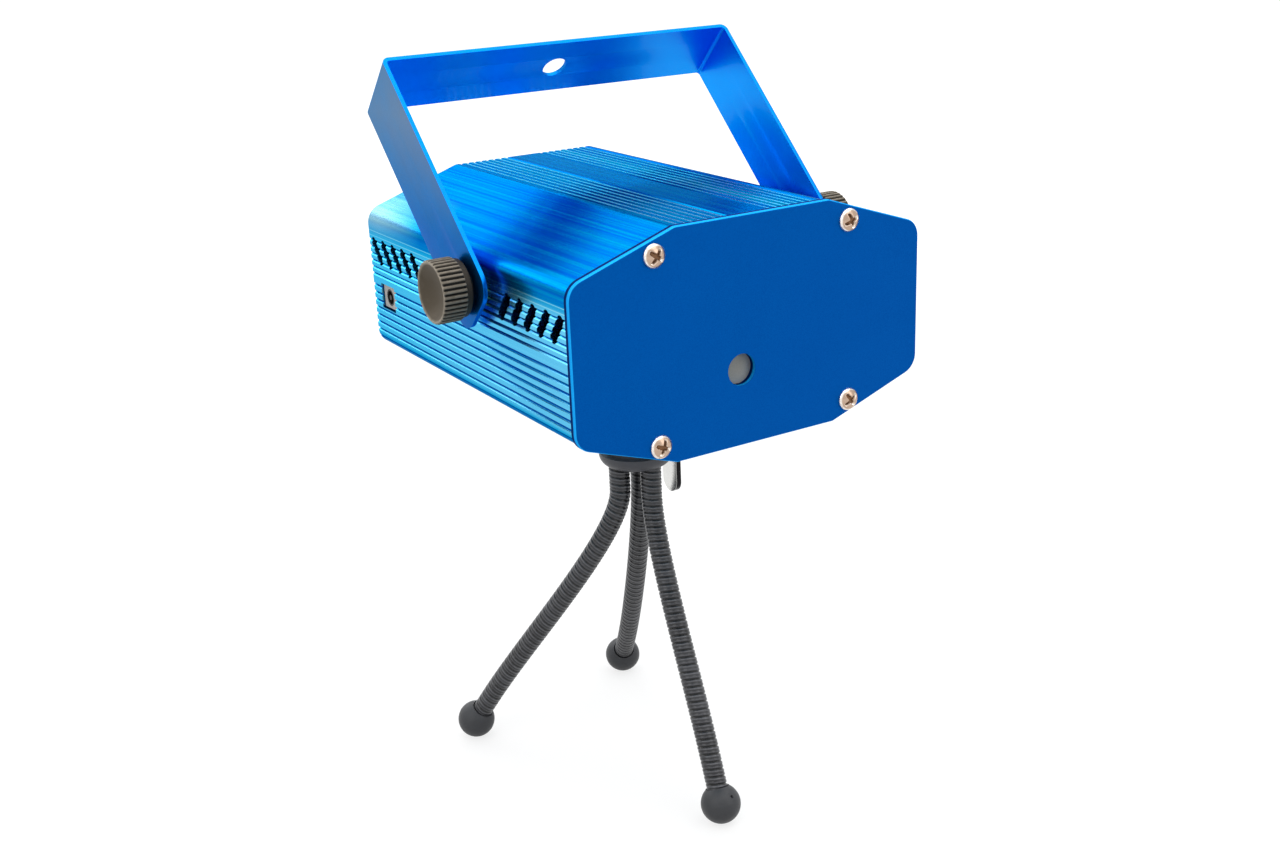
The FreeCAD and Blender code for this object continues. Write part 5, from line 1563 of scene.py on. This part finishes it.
@dataclass
class Studio:
    """Floor, lamps, world and camera."""

    focus: Point = (0.0, 0.0, 0.11)
    camera_spot: Point = (-0.18825, -0.31633, 0.22447)
    camera_forward: Point = (0.48861478, 0.80604413, -0.3339887)
    camera_roll: float = -2.465
    sensor: float = 36.0
    focal_pixels: float = 1534.09
    frame_width: float = 1280.0
    floor_half: float = 6.0
    floor_near: float = 0.28
    floor_far: float = 0.75
    floor_tone: float = 0.3
    floor_roughness: float = 0.9
    floor_glow: float = 0.78
    world_glow: float = 0.28
    lamps: tuple[SoftBox, ...] = (
        SoftBox("overhead", (0.2, -0.1, 1.35), (2.0, 1.6), 17.5),
        SoftBox("left_bank", (-1.25, -0.3, 0.8), (0.9, 0.9), 4.2),
        SoftBox("front_fill", (0.6, -1.2, 0.7), (0.8, 0.8), 2.8),
        SoftBox("rear_strip", (0.02, 1.391, 0.7145), (2.4, 0.105), 3.4),
        SoftBox("rear_bank", (0.0, 1.241, 0.97), (2.4, 0.42), 4.7),
    )

    def build(self) -> None:
        """Set up the whole studio."""
        bpy.context.scene.view_settings.view_transform = "Standard"
        self._world()
        self._floor()
        for lamp in self.lamps:
            self._lamp(lamp)
        self._camera()

    def _seen(self, sheet: NodeSheet) -> Socket:
        """Share of a ray that shows the white background: all of what is seen, looked through or mirrored.

        Args:
            sheet: The world's or the floor's nodes.

        Returns:
            The share.
        """
        path = sheet.add("ShaderNodeLightPath").outputs
        direct = sheet.math("MAXIMUM", path["Is Camera Ray"], path["Is Transmission Ray"])
        return sheet.math("MAXIMUM", direct, path["Is Glossy Ray"])

    def _world(self) -> None:
        """White where it is seen or mirrored, and a plain level for the light itself."""
        world = bpy.data.worlds.new("studio")
        world.use_nodes = True
        bpy.context.scene.world = world
        sheet = NodeSheet(world.node_tree)
        background = world.node_tree.nodes["Background"]
        sheet.feed(background.inputs["Color"], (1.0, 1.0, 1.0))
        strength = sheet.ranged(self._seen(sheet), 0.0, 1.0, self.world_glow, 1.0)
        sheet.feed(background.inputs["Strength"], strength)

    def _floor(self) -> None:
        """Pale floor that shows white and keeps the shadow near the object."""
        half = self.floor_half
        mesh = bpy.data.meshes.new("floor")
        corners = [(-half, -half, 0), (half, -half, 0), (half, half, 0), (-half, half, 0)]
        mesh.from_pydata(corners, [], [(0, 1, 2, 3)])
        floor = new_object("floor", mesh)
        material = bpy.data.materials.new("pale_floor")
        material.use_nodes = True
        sheet = NodeSheet(material.node_tree)
        place = sheet.add("ShaderNodeTexCoord").outputs["Object"]
        glow = sheet.ranged(sheet.length(place), self.floor_near, self.floor_far, self.floor_glow, 1.0)
        shader = material.node_tree.nodes["Principled BSDF"]
        settings = {"Base Color": (self.floor_tone,) * 3, "Roughness": self.floor_roughness,
                    "Specular IOR Level": 0.0, "Emission Color": (1.0, 1.0, 1.0),
                    "Emission Strength": sheet.times(self._seen(sheet), glow)}
        for name, value in settings.items():
            sheet.feed(shader.inputs[name], value)
        floor.data.materials.append(material)

    def _lamp(self, lamp: SoftBox) -> None:
        """Hang one lamp, aimed at the object.

        Args:
            lamp: The lamp.
        """
        light = bpy.data.lights.new(lamp.name, "AREA")
        light.shape, light.size, light.size_y = "RECTANGLE", *lamp.size
        light.energy = lamp.watts
        item = bpy.data.objects.new(lamp.name, light)
        item.location = lamp.spot
        aim = Vector(self.focus) - Vector(lamp.spot)
        item.rotation_euler = aim.to_track_quat("-Z", "Y").to_euler()
        item.visible_camera = False
        bpy.context.scene.collection.objects.link(item)

    def _camera(self) -> None:
        """Stand the camera where the photograph was taken from."""
        data = bpy.data.cameras.new("camera")
        data.sensor_width = self.sensor
        data.lens = self.focal_pixels / self.frame_width * self.sensor
        data.clip_start, data.clip_end = 0.01, 50.0
        forward = Vector(self.camera_forward).normalized()
        level = forward.cross(Vector((0, 0, 1))).normalized()
        upright = level.cross(forward)
        roll = math.radians(self.camera_roll)
        right = level * math.cos(roll) + upright * math.sin(roll)
        up = upright * math.cos(roll) - level * math.sin(roll)
        matrix = Matrix((right, up, -forward)).transposed().to_4x4()
        matrix.translation = Vector(self.camera_spot)
        camera = bpy.data.objects.new("camera", data)
        camera.matrix_world = matrix
        bpy.context.scene.collection.objects.link(camera)
        bpy.context.scene.camera = camera


def main() -> None:
    """Dress the frame, build the pieces and set up the studio."""
    logging.basicConfig(level=logging.INFO, format="%(name)s: %(message)s")
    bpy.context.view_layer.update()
    finishes = FinishShelf()
    trees = Trees()
    dress_frame(finishes)
    Tripod().build(trees, finishes)
    Screws().build(trees, finishes)
    Knobs().build(trees, finishes)
    BentBracket().build(finishes)
    Studio().build()


if __name__ == "__main__":
    main()
